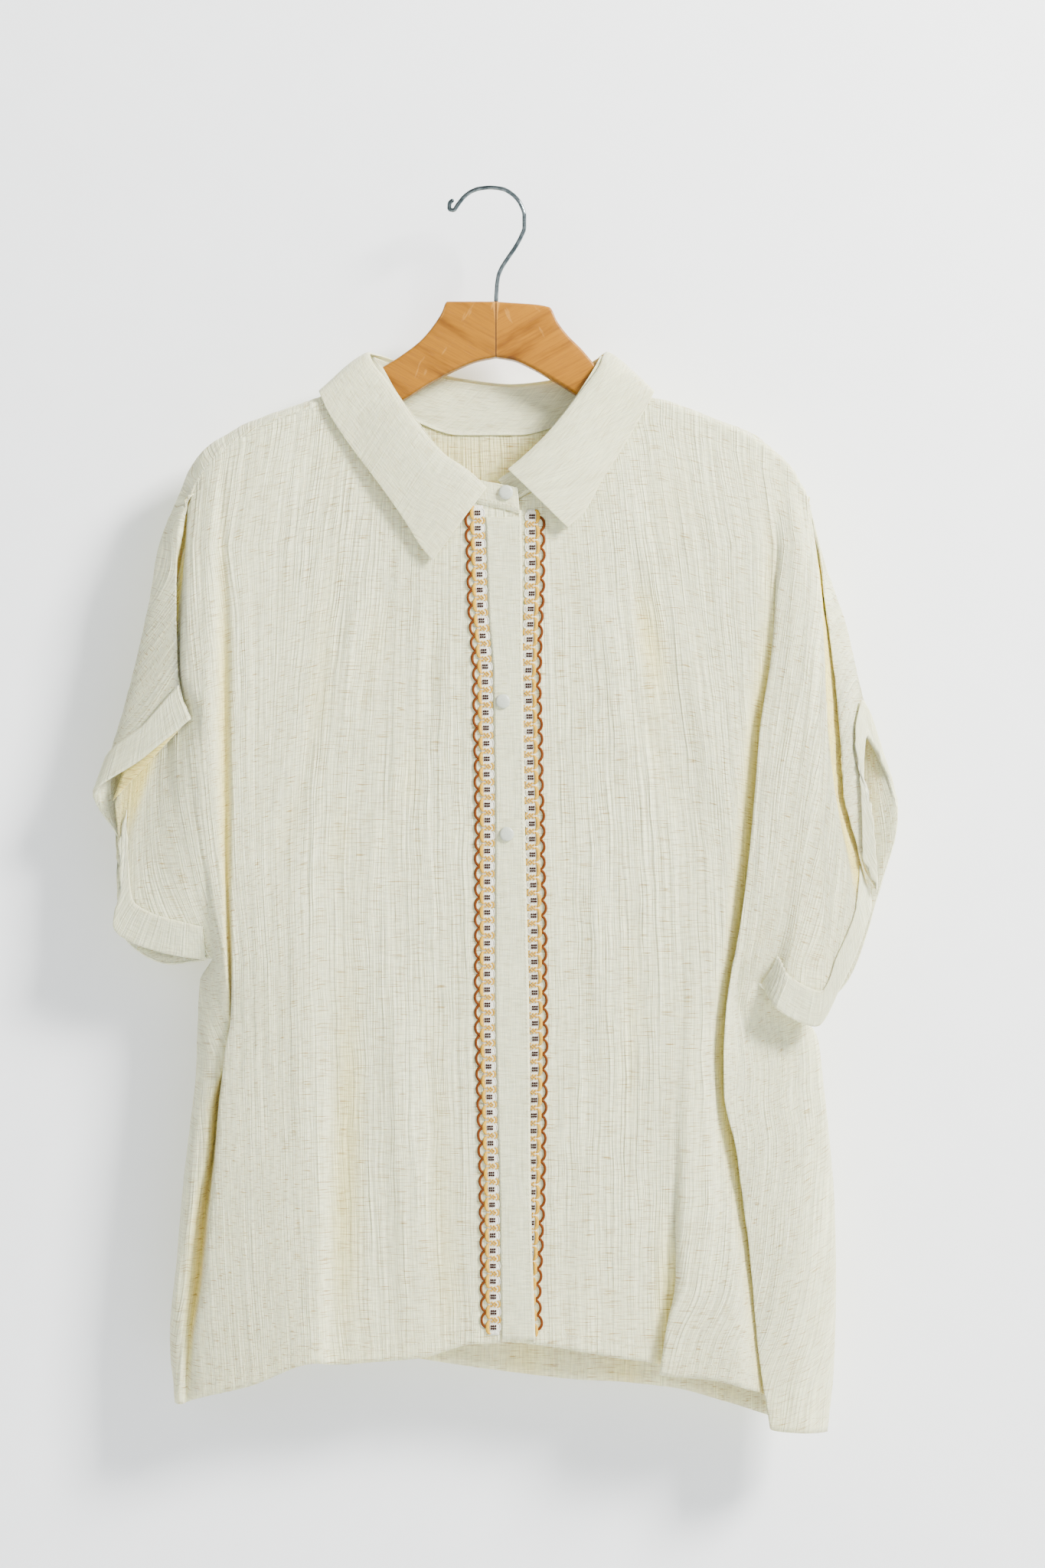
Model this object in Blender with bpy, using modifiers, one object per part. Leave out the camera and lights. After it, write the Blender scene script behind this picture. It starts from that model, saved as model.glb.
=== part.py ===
"""A short-sleeved linen shirt hanging from its wooden hanger.

World axes, metres: +X to the right of someone who faces the shirt, +Y away from them, +Z up.
The origin is the point of the hook that rests on a rail. Right and left in the names are the
wearer's, so the right front is on the -X side. Tables are in millimetres: "down" is the distance
below the origin, "across" runs along X and "depth" along Y.
"""
import math
from collections import namedtuple

import bpy
import numpy as np

MM = 0.001

# Driving sizes, millimetres.
CLOTH = 1.2
TRIM_CLOTH = 0.8
COLLAR_CLOTH = 1.6
GAP = 0.3
WOOD_THICKNESS = 14.0
WOOD_EDGE_ROUND = 2.0
WOOD_JOINT_ACROSS = 4.4
WIRE_RADIUS = 1.5
BUTTON_RADIUS = 5.3
BUTTON_THICKNESS = 2.2
BUTTON_EDGE = 0.6
CUFF_WIDTH = 25.0
CUFF_ROWS = 3

# Care label: the folds between which it lies, its rows out of 41 below the underarm, its wall and
# how far it lies behind the front.
LABEL_FOLDS = (10.8, 11.95)
LABEL_ROWS = (23, 28)
LABEL_CLOTH = 0.4
LABEL_SET_BACK = 2.3
LEAST_SQUEEZE = 0.3
TRIM_WIDTH = 14.0
TRIM_TAPE_WIDTH = 10.0
TRIM_PITCH = 11.05
TRIM_CORD = 1.5
# How far the middle of a trim or band lies in front of the middle of its panel.
TRIM_LIFT = CLOTH / 2.0 + GAP + TRIM_CLOTH / 2.0 + 0.1
UNDERARM_RIGHT = 559.0
UNDERARM_LEFT = 576.0

# Where a column lies beside a side seam, as a share of the way to the next fold.
SEAM_SHARE = 0.22
# Rows below the underarm over which the panels come to turn towards their side seam.
ROWS_TO_TURN = 3.0

# Cloth that goes over the shoulder ridge: drop below it and depth, on either side.
RIDGE_ROWS = ((1.2, 5.6), (4.2, 8.9), (12.0, 10.0))
ROW_NEAR_RIDGE = 6.0

Fold = namedtuple("Fold", "name down across depth")

# Right front, from the sleeve's seam to the free edge. The first folds end on the cuff.
FRONT_RIGHT_CUFF = (
    Fold("seam", (232.5, 250, 270, 320, 352, 400, 446),
         (-218.6, -219.8, -223.5, -234, -241, -257, -272), (-9.2, -7.6, -5.2, -3, -2.5, -3, -4.8)),
    Fold("hollow", (232, 250, 270, 320, 352, 400, 440, 470, 503),
         (-218.1, -218.9, -221, -226.5, -229, -238, -251, -260, -267),
         (-9.5, -8.8, -7.2, -4.6, -3.6, -4.4, -5.6, -7, -8)),
    Fold("flap edge", (230.5, 252, 296, 352, 384, 415, 445, 474, 505, 534),
         (-217.4, -217.8, -218, -217.3, -210.5, -218, -226, -238, -254, -272),
         (-10, -14, -19, -21, -21, -20, -17, -13, -10, -8)),
    Fold("flap inner", (222, 252, 296, 352, 384, 415, 445, 474, 505, 535, 553),
         (-214.4, -214, -213.7, -213, -208, -210, -212, -217, -225, -232, -236),
         (-10.5, -16, -20.5, -22.5, -23, -23.5, -22.5, -20, -17, -13, -9)),
)
FRONT_RIGHT_BODY = (
    Fold("underarm", (212, 252, 296, 352, 419, 474, 530, 559, 574, 644, 709, 774, 834, 880),
         (-210, -209, -208, -207, -205, -205, -204, -202, -210, -213.5, -221, -227, -232, -228.5),
         (-11, -17, -21, -23.5, -25, -23, -15, -6, -1, -0.45, -0.45, -0.45, -0.45, -0.45)),
    Fold("side strip", (202, 252, 325, 419, 500, 559, 600, 660, 742, 820, 881),
         (-204, -204.5, -204, -201.5, -198, -195, -198, -208, -219, -226, -226.5),
         (-11.5, -18, -23, -25, -23, -18, -13, -12, -10.5, -8, -6)),
    Fold("gap outer edge", (194.2, 252, 325, 419, 500, 559, 599, 630, 660, 700, 742, 791, 834, 881),
         (-196, -200, -199, -197.5, -194, -190.5, -188, -191, -202, -206, -214.5, -219.6, -223, -224),
         (-12, -18, -22, -24, -23, -21, -17, -15, -14, -13.5, -12.5, -10, -8.5, -7)),
    Fold("gap bottom", (191.2, 252, 325, 419, 500, 559, 599, 630, 660, 700, 742, 791, 834, 880),
         (-193, -193.5, -191.5, -190.5, -189.5, -187.5, -187, -190, -197, -201, -207, -212, -217.5, -220),
         (-11.8, -15.5, -17.5, -18.5, -17.5, -14, -8, -1, 2, 3, 3, 1, -3, -6)),
    Fold("gap inner edge", (187.4, 252, 325, 419, 500, 559, 599, 630, 662, 700, 742, 791, 834, 878),
         (-188, -187, -184, -184, -184.5, -184, -186, -191, -193.5, -196, -200, -204.3, -212, -216),
         (-12, -17.5, -21, -23, -23, -22.5, -20, -20, -21, -21, -20.5, -19, -14, -9)),
    Fold("outer panel", (173.2, 252, 441, 600, 742, 821, 865),
         (-165, -167, -166, -165, -168, -174, -172), (-11.5, -17.5, -21.5, -23.5, -24.5, -24, -22)),
    Fold("hem fold ridge", (163.5, 252, 441, 600, 742, 821, 848),
         (-141, -135, -130, -127, -124.5, -124, -124.5), (-10.5, -17, -21, -23.5, -26, -27.5, -27)),
    Fold("hem fold valley", (157, 252, 441, 600, 742, 821, 850),
         (-122, -115, -113, -112, -112, -113, -112), (-10, -16.5, -20, -21.5, -21.5, -21.5, -21)),
    Fold("neck point", (149, 200, 300, 441, 600, 742, 848),
         (-106, -98, -90, -86, -85, -85, -83), (-9.6, -14.5, -18.5, -20.5, -22, -22, -21)),
    Fold("chest", (192, 252, 441, 600, 742, 845),
         (-64, -58, -55, -54, -53, -50), (-18, -19.5, -21.5, -22.5, -22.5, -21.5)),
    Fold("trim side", (222, 300, 441, 600, 742, 835),
         (-25, -21, -17, -15, -13, -11), (-21.5, -22, -22.5, -23, -23, -22.5)),
    Fold("free edge", (236, 300, 441, 600, 742, 833.5),
         (23, 23.5, 25, 28.5, 30, 33), (-22.5, -22.8, -23.2, -23.7, -23.7, -23)),
)

# Left front, from its free edge under the right front to the seam of the sleeve.
FRONT_LEFT_BODY = (
    Fold("free edge", (236, 300, 441, 600, 742, 833),
         (3, 3, 4, 7, 8, 10), (-18.5, -18.7, -19, -19.4, -19.4, -18.8)),
    Fold("trim side", (218, 300, 441, 600, 742, 808, 838),
         (38, 43, 45, 47, 46, 45, 50), (-18, -18.7, -19.4, -20, -20.3, -20.3, -20)),
    Fold("chest", (172, 252, 441, 600, 742, 808, 846),
         (80, 92, 98, 100, 98, 96, 95), (-14.5, -18.5, -20.5, -21.5, -21, -20, -19.5)),
    Fold("neck point", (148.5, 252, 441, 600, 742, 808, 848),
         (103, 108, 112, 113, 110, 110, 110), (-9.2, -18, -20.5, -21.5, -20.5, -19, -18)),
    Fold("flare outer", (152, 252, 441, 600, 742, 808, 851),
         (119, 122, 124, 124, 121, 124, 126), (-0.25, -17.5, -20.5, -21.5, -20, -17.5, -16)),
    Fold("flare valley", (160, 252, 441, 600, 700, 742, 788, 821, 853),
         (146, 142, 140, 137, 134, 134, 136, 136, 135),
         (-0.25, -17.5, -20.5, -21.5, -20, -18.5, -15.5, -13.5, -12)),
    Fold("flare edge", (166.5, 252, 441, 600, 700, 742, 788, 827, 856),
         (162, 155, 150, 145, 141, 139, 137, 127.5, 123),
         (-0.25, -17.5, -21, -22.5, -23, -23.5, -24, -26, -27)),
    Fold("flare", (173.5, 252, 441, 534, 630, 742, 821, 859),
         (180, 172, 161, 156, 152, 157, 156, 155), (-0.25, -18, -21.5, -22, -22.5, -25, -29, -29.5)),
    Fold("valley lip", (184.5, 252, 339, 441, 534, 591, 630, 673, 726, 765, 821, 865),
         (199.5, 192, 186, 176, 168, 161, 159, 162, 169, 174, 177, 180),
         (-0.25, -17.5, -20, -21.5, -21.5, -21, -20, -20, -21, -23, -27, -28)),
    Fold("valley", (192.5, 252, 300, 339, 396, 441, 530, 591, 630, 673, 726, 765, 821, 877),
         (209, 206, 206, 204, 197, 194, 184.5, 175, 172, 176, 186, 191, 197, 201),
         (-0.25, -16, -17, -16.5, -14, -12, -8.5, -6.5, -6, -5, -5, -6, -8, -10)),
    Fold("strip edge", (197, 263, 300, 339, 396, 441, 530, 574, 600, 630, 654, 696, 726, 765, 846, 897),
         (214, 212, 207, 203, 194.6, 191, 181, 173, 170, 168.5, 169, 178, 182, 187, 194.5, 203),
         (-0.25, -20, -22, -23, -25, -25.5, -26, -25, -24, -23, -21.5, -21, -20, -20, -20, -19)),
    Fold("strip", (204, 252, 300, 396, 485, 534, 576, 600, 640, 700, 780, 850, 900),
         (220, 217, 215, 210, 204, 195, 178, 183, 192, 205, 214, 218, 224),
         (-0.25, -20, -23.5, -26, -27, -25.5, -20, -13, -14, -17, -19, -19, -18)),
    Fold("strip outer", (209, 252, 300, 396, 485, 534, 560, 576, 600, 615, 650, 700, 780, 850, 901),
         (223, 221, 220, 216, 212, 203, 193, 183, 199, 210.5, 220, 230, 237, 239, 238),
         (-0.25, -20, -24, -26.5, -27, -26, -24, -19.5, -12, -10, -10.5, -12, -13, -12.5, -11)),
    Fold("underarm", (213, 252, 300, 396, 485, 534, 560, 576, 588, 600, 615, 650, 687, 733, 788, 853, 902),
         (225, 225, 225, 222, 218, 212, 203, 194.6, 209, 225, 237, 242, 246, 249.5, 251, 249.5, 244.5),
         (-0.25, -19, -24, -26.5, -27.5, -27, -23, -15.5, -11, -7, -2.2, -0.45, -0.45, -0.45, -0.45,
          -0.45, -0.45)),
)
FRONT_LEFT_CUFF = (
    Fold("lower cuff inner", (218, 252, 300, 396, 485, 540, 575, 593),
         (228, 228.5, 230, 229, 226, 221, 213, 207), (-0.25, -17, -23, -26.5, -28, -29, -30, -30.5)),
    Fold("lower cuff corner", (220.5, 252, 300, 396, 485, 540, 580, 605),
         (228.8, 230.5, 233.5, 234.5, 235, 237, 237, 234), (-0.5, -15, -22, -26, -28, -28.5, -28.5, -27)),
    Fold("lower cuff", (223.5, 252, 300, 396, 485, 540, 580),
         (229.9, 232, 236.5, 239, 243, 248, 250), (-1.1, -13, -20.5, -24.5, -27, -27, -25)),
    Fold("cuff front", (227, 252, 300, 396, 452, 500, 546),
         (230.9, 233.5, 238.5, 242.5, 250, 259, 266), (-2.6, -11, -19, -22.5, -24, -23.5, -21)),
    Fold("gap inner edge", (231.5, 260, 281, 300, 339, 396, 441, 463, 485, 514),
         (231.6, 235, 237.2, 238.8, 241.3, 244, 247.2, 254, 263, 274.5),
         (-4, -11, -14.4, -17, -19, -20, -20, -19.5, -18, -14.5)),
    Fold("seam", (236, 247, 260, 281, 300, 339, 396, 441, 463, 480, 498),
         (232.4, 233.9, 235.4, 238.8, 241.6, 250.2, 257.5, 261, 263.5, 266, 270),
         (-4.9, -6.6, -7.2, -6.4, -5.2, -3.2, -4, -5.4, -6.6, -7.4, -9)),
)

# Back, from the seam in the right sleeve's fold, over the sleeve's top and across to the left one.
BACK_RIGHT_CUFF = (
    Fold("seam", (231.5, 240, 250, 270, 320, 352, 400, 444),
         (-219.6, -220.6, -222, -226.4, -235, -241.8, -257.8, -273),
         (-10.6, -11.3, -11, -7.4, -5.2, -4.9, -5.6, -7.2)),
    Fold("gap outer edge", (227, 238, 250, 270, 300, 352, 366, 384),
         (-218.2, -222.2, -224.6, -226.4, -226.8, -225.2, -223, -215.5),
         (-10.8, -11.6, -12.4, -13.8, -14, -14.5, -16, -20)),
    Fold("sleeve face", (222, 238, 250, 275, 300, 352, 385, 412),
         (-215.8, -225, -229, -233.5, -236, -243, -247, -250),
         (-10.6, -10.2, -10.2, -10.4, -10.8, -12, -13, -14)),
    Fold("sleeve top", (217, 226, 245, 265, 287, 361, 413, 441),
         (-214.4, -224, -235, -241.5, -245, -261, -276, -286), (-10.4, -4, -2, -1, -1, -1, -1.5, -3)),
    Fold("sleeve back", (211, 206, 222, 265, 330, 400, 440, 475),
         (-210.8, -219, -222, -236, -248, -262, -272, -270), (-10.8, -1, 7, 8, 8, 8, 8, 7)),
    Fold("sleeve back lower", (199, 190, 265, 350, 440, 500, 534),
         (-203, -208, -222, -232, -246, -262, -270), (-11.2, 0, 11, 12, 13, 12, 8)),
    Fold("underarm back", (189.5, 180, 265, 350, 440, 520, 562),
         (-194, -194, -205, -212, -218, -228, -234), (-12, 0, 12.5, 14, 15, 13, 8)),
)
BACK_BODY = (
    Fold("right side", (179.5, 171, 265, 350, 440, 520, 559, 574, 644, 709, 774, 834, 880),
         (-180, -178, -192, -196, -200, -203, -202.5, -210, -213.5, -221, -227, -232, -228.5),
         (-11.8, 0, 13, 15, 16, 12, 2.5, 1, 0.45, 0.45, 0.45, 0.45, 0.45)),
    Fold("right soft fold", (168, 161, 265, 440, 559, 660, 760, 874),
         (-158, -152, -165, -175, -178, -182, -190, -196), (-11.2, 0, 14.5, 18.5, 18.5, 17, 15, 13)),
    Fold("right hem fold", (155, 150.8, 265, 440, 600, 760, 851),
         (-122.5, -122.5, -130, -135, -138, -138, -137), (-9.6, 0, 15, 17, 17, 19, 19)),
    Fold("right neck point", (147.4, 144.6, 265, 440, 600, 760, 849),
         (-107, -107, -97, -95, -95, -95, -95), (-9.4, 0, 15.5, 17.5, 18, 16, 16)),
    Fold("right neck ridge", (143.8, 265, 440, 600, 760, 848),
         (-102.5, -90, -88, -88, -88, -88), (0, 15.7, 17.5, 18, 16.4, 16.4)),
    Fold("right neck back", (151, 265, 440, 600, 760, 848),
         (-97, -83, -81, -81, -81, -81), (11, 15.9, 17.6, 18, 16.8, 16.8)),
    Fold("right centre", (165.8, 265, 440, 600, 760, 852),
         (-61, -60, -58, -58, -58, -58), (13.5, 16.5, 18, 18, 18.5, 18.5)),
    Fold("centre right", (176.8, 265, 440, 600, 760, 858),
         (-22, -20, -18, -18, -18, -18), (14.5, 17, 17.5, 18, 17, 17)),
    Fold("centre left", (176.8, 265, 440, 600, 760, 864),
         (24, 24, 24, 24, 24, 24), (14.5, 17, 18.2, 18.4, 19, 19)),
    Fold("left centre", (166, 265, 440, 600, 760, 868),
         (60, 60, 62, 62, 62, 62), (13.5, 16.5, 17.5, 17.5, 17, 17)),
    Fold("left neck back", (152, 265, 440, 600, 760, 870),
         (95, 88, 90, 92, 94, 96), (11, 15.8, 17.9, 18.2, 18.2, 18.8)),
    Fold("left neck point", (145.2, 265, 440, 600, 760, 871),
         (102.5, 98, 100, 102, 104, 106), (0.25, 15.5, 18, 18.5, 18.5, 19)),
    Fold("left hem fold", (152, 265, 440, 600, 760, 873),
         (119, 126, 130, 132, 133, 131), (0.25, 15, 16.5, 16.5, 15, 14)),
    Fold("left soft fold", (167, 265, 440, 600, 760, 884),
         (163, 166, 168, 172, 174, 173), (0.25, 14.5, 18.5, 18.5, 17, 15)),
    Fold("left side", (181, 265, 440, 540, 576, 600, 700, 800, 896),
         (196, 198, 200, 196, 190, 206, 218, 220, 214),
         (0.25, 12.5, 16, 14, 8, 9, 13, 13.5, 11)),
    Fold("left underarm", (184, 265, 350, 440, 520, 560, 576, 588, 600, 615, 650, 687, 733, 788, 853, 902),
         (199, 203, 206, 207, 206, 200, 193.5, 206, 225, 237, 242, 246, 249.5, 251, 249.5, 244.5),
         (0.25, 12.5, 15, 16, 14, 9, 4, 4, 2.5, 0.45, 0.45, 0.45, 0.45, 0.45, 0.45, 0.45)),
)
BACK_LEFT_CUFF = (
    Fold("underarm back", (197, 300, 400, 500, 550, 585),
         (214, 228, 238, 246, 251, 247), (0.25, 12, 14, 13, 11, 9)),
    Fold("sleeve back lower", (212, 225, 300, 400, 460, 502),
         (224.5, 228, 241, 257, 273, 285), (0.25, 7.6, 9, 10, 9, 7)),
    Fold("sleeve back", (219, 240, 300, 380, 420, 455),
         (228.4, 234, 248.4, 265, 279, 296), (0.25, 5, 5, 5, 4, 4)),
    Fold("sleeve top", (224, 262, 291, 319, 349, 385, 396),
         (230.2, 239.6, 249.6, 259, 265, 269.5, 271), (0.25, -0.8, -1, -1, -1.5, -3, -4.5)),
    Fold("sleeve face", (227.5, 262, 281, 300, 339, 372, 400, 424),
         (231.2, 239.6, 244, 248, 255.8, 259.4, 261.8, 268), (-0.5, -2.4, -3.8, -6, -9.4, -11.6, -13.4, -15)),
    Fold("sleeve face front", (230, 253, 265, 295, 339, 380, 420, 462),
         (232, 237.4, 239.9, 244.3, 251.2, 255, 261, 276), (-1.3, -3.2, -4.4, -8.6, -12.8, -15, -16.6, -17)),
    Fold("gap outer edge", (232.5, 241, 253, 265, 295, 339, 363, 408, 441, 463, 485, 507),
         (232.6, 234.4, 236.9, 239.3, 241.8, 247.4, 250, 253.5, 255.5, 261, 268, 278),
         (-2.1, -3.3, -5, -6.8, -11.4, -14.6, -15.4, -17, -18.6, -19.4, -19.8, -19.8)),
    Fold("seam", (235, 241, 247, 253, 259, 265, 295, 339, 396, 441, 463, 480, 495),
         (232.8, 233.9, 234.7, 235.6, 237, 238.1, 243.2, 251.8, 258.6, 262, 264.8, 267.6, 272),
         (-2.9, -4.2, -5, -4.9, -5, -5.2, -6.8, -5, -5.8, -7.4, -8.8, -10, -12)),
)

# Collar, along the neck: the roll line, where it folds, and its outer edge.
CollarStation = namedtuple("CollarStation", "roll outer")
COLLAR = (
    CollarStation((219, -2, -26), (271.5, -41, -26.5)),
    CollarStation((207, -15, -26.5), (262, -49, -26.3)),
    CollarStation((194.6, -33, -25.5), (243, -61, -25.2)),
    CollarStation((171, -53, -22.5), (213, -82, -22.8)),
    CollarStation((143.4, -72, -15), (182, -105, -17)),
    CollarStation((126, -85.2, -9), (160, -118.5, -14)),
    CollarStation((121, -87, -4.4), (149.5, -123, -11)),
    CollarStation((118.5, -87.5, 1), (146.8, -124, 0)),
    CollarStation((119, -82, 8), (149, -118, 11.5)),
    CollarStation((127, -55, 16), (170, -75, 18)),
    CollarStation((135, -20, 18), (180, -28, 20)),
    CollarStation((139, 15, 18.2), (181, 18, 20)),
    CollarStation((136, 45, 17), (176, 55, 19.5)),
    CollarStation((126, 72, 12.5), (163, 92, 16.5)),
    CollarStation((119.5, 81, 8), (149, 113.5, 11.5)),
    CollarStation((118, 84, 2), (146.8, 119, 1)),
    CollarStation((122, 82, -4), (149, 118.5, -10.8)),
    CollarStation((128, 80, -10), (157, 114.5, -14)),
    CollarStation((150, 65, -18), (187, 97.5, -18.5)),
    CollarStation((176, 45, -24), (215, 80, -23)),
    CollarStation((196, 25, -26), (238, 67, -25.5)),
    CollarStation((206, 13, -26.5), (248, 56, -26.5)),
)
COLLAR_BULGE = 2.2

# Collar stand, from the buttoned end on top to the end under it: upper and lower edge.
StandStation = namedtuple("StandStation", "upper lower")
COLLAR_STAND = (
    StandStation((219, 20, -24.6), (235, 21.5, -24.8)),
    StandStation((216.5, 8, -24.4), (231, 7, -24.4)),
    StandStation((213, -8, -23.6), (227.4, -9, -23.6)),
    StandStation((196, -31, -22.6), (219.5, -26, -23)),
    StandStation((173, -50, -19.5), (203, -49, -21)),
    StandStation((146, -69, -12.5), (172, -77, -16.6)),
    StandStation((129.5, -78.3, -9), (147, -92, -12)),
    StandStation((122, -84, 1), (139.5, -100, 0.5)),
    StandStation((122.5, -81, 6), (141, -96, 9.4)),
    StandStation((125, -72, 10.5), (152.5, -79, 12)),
    StandStation((131, -53, 13.5), (163.2, -58, 13.5)),
    StandStation((138, -20, 15.4), (174.8, -22, 14.5)),
    StandStation((141.5, 15, 15.6), (174.8, 20, 14.5)),
    StandStation((139, 43, 14.4), (164.5, 57, 13.5)),
    StandStation((129, 66, 11), (154, 76, 12)),
    StandStation((123, 76.5, 6), (140, 94, 9.4)),
    StandStation((121, 80.5, 1), (139.5, 97.5, 1)),
    StandStation((130, 76, -9.6), (146, 90, -12)),
    StandStation((153, 61.5, -15.5), (170, 75, -14.6)),
    StandStation((178, 42.5, -20.4), (193, 55, -17.4)),
    StandStation((201, 22, -20.8), (211, 40, -18.3)),
    StandStation((213, 6, -21), (226, 18, -19)),
)

# Outer edge of each trim.
TrimLine = namedtuple("TrimLine", "down across")
TRIM_RIGHT_LINE = TrimLine((226, 305, 349, 441, 597, 733, 833), (-18, -15.6, -12.2, -10.6, -10.6, -7.2, -6))
TRIM_LEFT_LINE = TrimLine((232, 283, 356, 437, 518, 618, 733, 804, 833),
                          (39.5, 39.5, 36.7, 38.7, 40.6, 41.7, 39.5, 36.6, 38.6))
TRIM_TOP_RIGHT = 231.5
TRIM_TOP_LEFT = 234.0
TRIM_REPEATS = 54

# Button band: its ends, as distances down, and its rows.
BAND_ENDS = (240.0, 831.5)
BAND_ROWS = 16

# Buttons: distance down, and whether the button lies under the right front's free edge.
Button = namedtuple("Button", "name down across under")
BUTTONS = (
    Button("button_collar", 222.5, 11.7, False),
    Button("button_2", 282.5, 19.0, True),
    Button("button_3", 372.5, 9.5, False),
    Button("button_4", 468.0, 12.3, False),
    Button("button_5", 568.0, 19.5, True),
    Button("button_6", 666.0, 20.5, True),
)

# Hanger halves: outline of the wearer's right half, then the left half's, from the joint.
OutlinePoint = namedtuple("OutlinePoint", "down across")
HANGER_RIGHT_OUTLINE = tuple(OutlinePoint(*row) for row in (
    (82.0, 4.1), (82.0, -31), (90, -35), (98, -40), (110, -50), (122, -65.6), (131, -79.5), (152, -98),
    (160.5, -122), (167.5, -143), (184.5, -180), (198, -200), (210, -206), (217, -205), (219, -197), (209, -175),
    (187, -136), (169, -97), (153.5, -63), (142, -45), (131, -24), (125, -9), (122.3, 4.1)))
HANGER_LEFT_OUTLINE = tuple(OutlinePoint(*row) for row in (
    (122.3, 4.7), (124.5, 17), (130, 29.5), (142, 50.6), (151, 65), (170, 98), (190, 142), (211, 190),
    (220, 208), (219, 215), (211, 217), (202, 209), (187, 190), (174, 155), (161, 119), (153.5, 98), (137, 82),
    (126.8, 75), (116.8, 66.7), (106, 56), (96.7, 49), (86, 43), (82.0, 4.7)))

HOOK_WIRE = tuple(OutlinePoint(*row) for row in (
    (7.0, -26.5), (10.5, -29.5), (14.0, -29.6), (15.0, -26.8), (10.6, -23.2), (5.2, -18.8), (1.4, -13.6),
    (-0.7, -8.0), (-1.5, 0.0), (-0.6, 8.6), (3.6, 16.4), (10.6, 22.2), (19.0, 24.9), (27.4, 24.9),
    (34.0, 22.6), (41.4, 18.6), (50.0, 12.8), (57.0, 8.4), (63.0, 6.0), (70.0, 5.0), (76.0, 4.6),
    (81.5, 4.4)))

Finish = namedtuple("Finish", "colour roughness metallic")
LINEN = Finish((0.74, 0.72, 0.60), 0.85, 0.0)
TRIM_YARN = Finish((0.55, 0.31, 0.12), 0.7, 0.0)
BUTTON_SHELL = Finish((0.83, 0.81, 0.74), 0.3, 0.0)
LABEL_SATIN = Finish((0.83, 0.82, 0.76), 0.6, 0.0)
WOOD = Finish((0.52, 0.27, 0.09), 0.4, 0.0)
CHROME = Finish((0.62, 0.64, 0.66), 0.15, 1.0)


def clear_scene():
    """Remove every object, so that only the shirt is there."""
    for old in list(bpy.data.objects):
        bpy.data.objects.remove(old, do_unlink=True)


def new_collection(name):
    """Return a collection linked to the scene."""
    collection = bpy.data.collections.new(name)
    bpy.context.scene.collection.children.link(collection)
    return collection


def new_material(name, finish):
    """Return a Principled BSDF material with a finish."""
    material = bpy.data.materials.new(name)
    material.use_nodes = True
    shader = material.node_tree.nodes["Principled BSDF"]
    shader.inputs["Base Color"].default_value = (*finish.colour, 1.0)
    shader.inputs["Roughness"].default_value = finish.roughness
    shader.inputs["Metallic"].default_value = finish.metallic
    return material


def smooth_curve(stops, values, at, turn_start=0.0, turn_end=0.0):
    """Return values at the places asked for: a cubic curve that never overshoots its stops.

    The last axis of values holds (across, depth, down). A turn of +1 or -1 makes the curve leave or
    reach that end along the depth, as cloth does at the side of the body; less of it, partly so.
    """
    steps = np.diff(stops)
    slopes = np.diff(values, axis=0) / steps[:, None]
    tangents = np.zeros_like(values)
    before, after = slopes[:-1], slopes[1:]
    w_before = (2.0 * steps[1:] + steps[:-1])[:, None]
    w_after = (steps[1:] + 2.0 * steps[:-1])[:, None]
    same_way = before * after > 0.0
    safe_before = np.where(same_way, before, 1.0)
    safe_after = np.where(same_way, after, 1.0)
    mean = (w_before + w_after) / (w_before / safe_before + w_after / safe_after)
    tangents[1:-1] = np.where(same_way, mean, 0.0)
    tangents[0] = slopes[0]
    tangents[-1] = slopes[-1]
    for end, turn in ((0, turn_start), (-1, turn_end)):
        if turn:
            tangents[end][:2] = slopes[end][:2] * (1.0 - abs(turn))
            tangents[end][1] += turn
    cell = np.clip(np.searchsorted(stops, at, side="right") - 1, 0, len(stops) - 2)
    width = steps[cell][:, None]
    t = ((at - stops[cell])[:, None]) / width
    h_start = (1.0 + 2.0 * t) * (1.0 - t) ** 2
    h_start_slope = t * (1.0 - t) ** 2
    h_end = t * t * (3.0 - 2.0 * t)
    h_end_slope = t * t * (t - 1.0)
    return (h_start * values[cell] + h_start_slope * width * tangents[cell]
            + h_end * values[cell + 1] + h_end_slope * width * tangents[cell + 1])


def chord_stops(points):
    """Return the distance along a run of points at each of them."""
    lengths = np.linalg.norm(np.diff(points, axis=0), axis=1)
    return np.concatenate(([0.0], np.cumsum(np.maximum(lengths, 0.01))))


def ridge_rows(fold):
    """Return a fold's rows as (across, depth, down), with the shoulder ridge's rows put in.

    The ridge is a row at a depth near 0 whose next row is on a face of the hanger. RIDGE_ROWS carry
    the cloth round the wood on that side, and on the other one too where the fold begins there.
    """
    rows = [(x, y, d) for d, x, y in zip(fold.down, fold.across, fold.depth)]
    top = 1 if rows[1][2] < rows[0][2] else 0
    ridge, after = rows[top], rows[top + 1]
    if abs(ridge[1]) > 0.5 or abs(after[1]) < 10.5:
        return np.array(rows, dtype=float)
    side = math.copysign(1.0, after[1])
    extra = [(ridge[0] + (after[0] - ridge[0]) * drop / (after[2] - ridge[2]),
              ridge[1] + side * depth, ridge[2] + drop) for drop, depth in RIDGE_ROWS]
    before = []
    if top:
        drop, depth = RIDGE_ROWS[0]
        before = [(ridge[0], ridge[1] - side * depth, ridge[2] + drop)]
    return np.array(rows[:top] + before + [ridge] + extra + rows[top + 1:], dtype=float)


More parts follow.
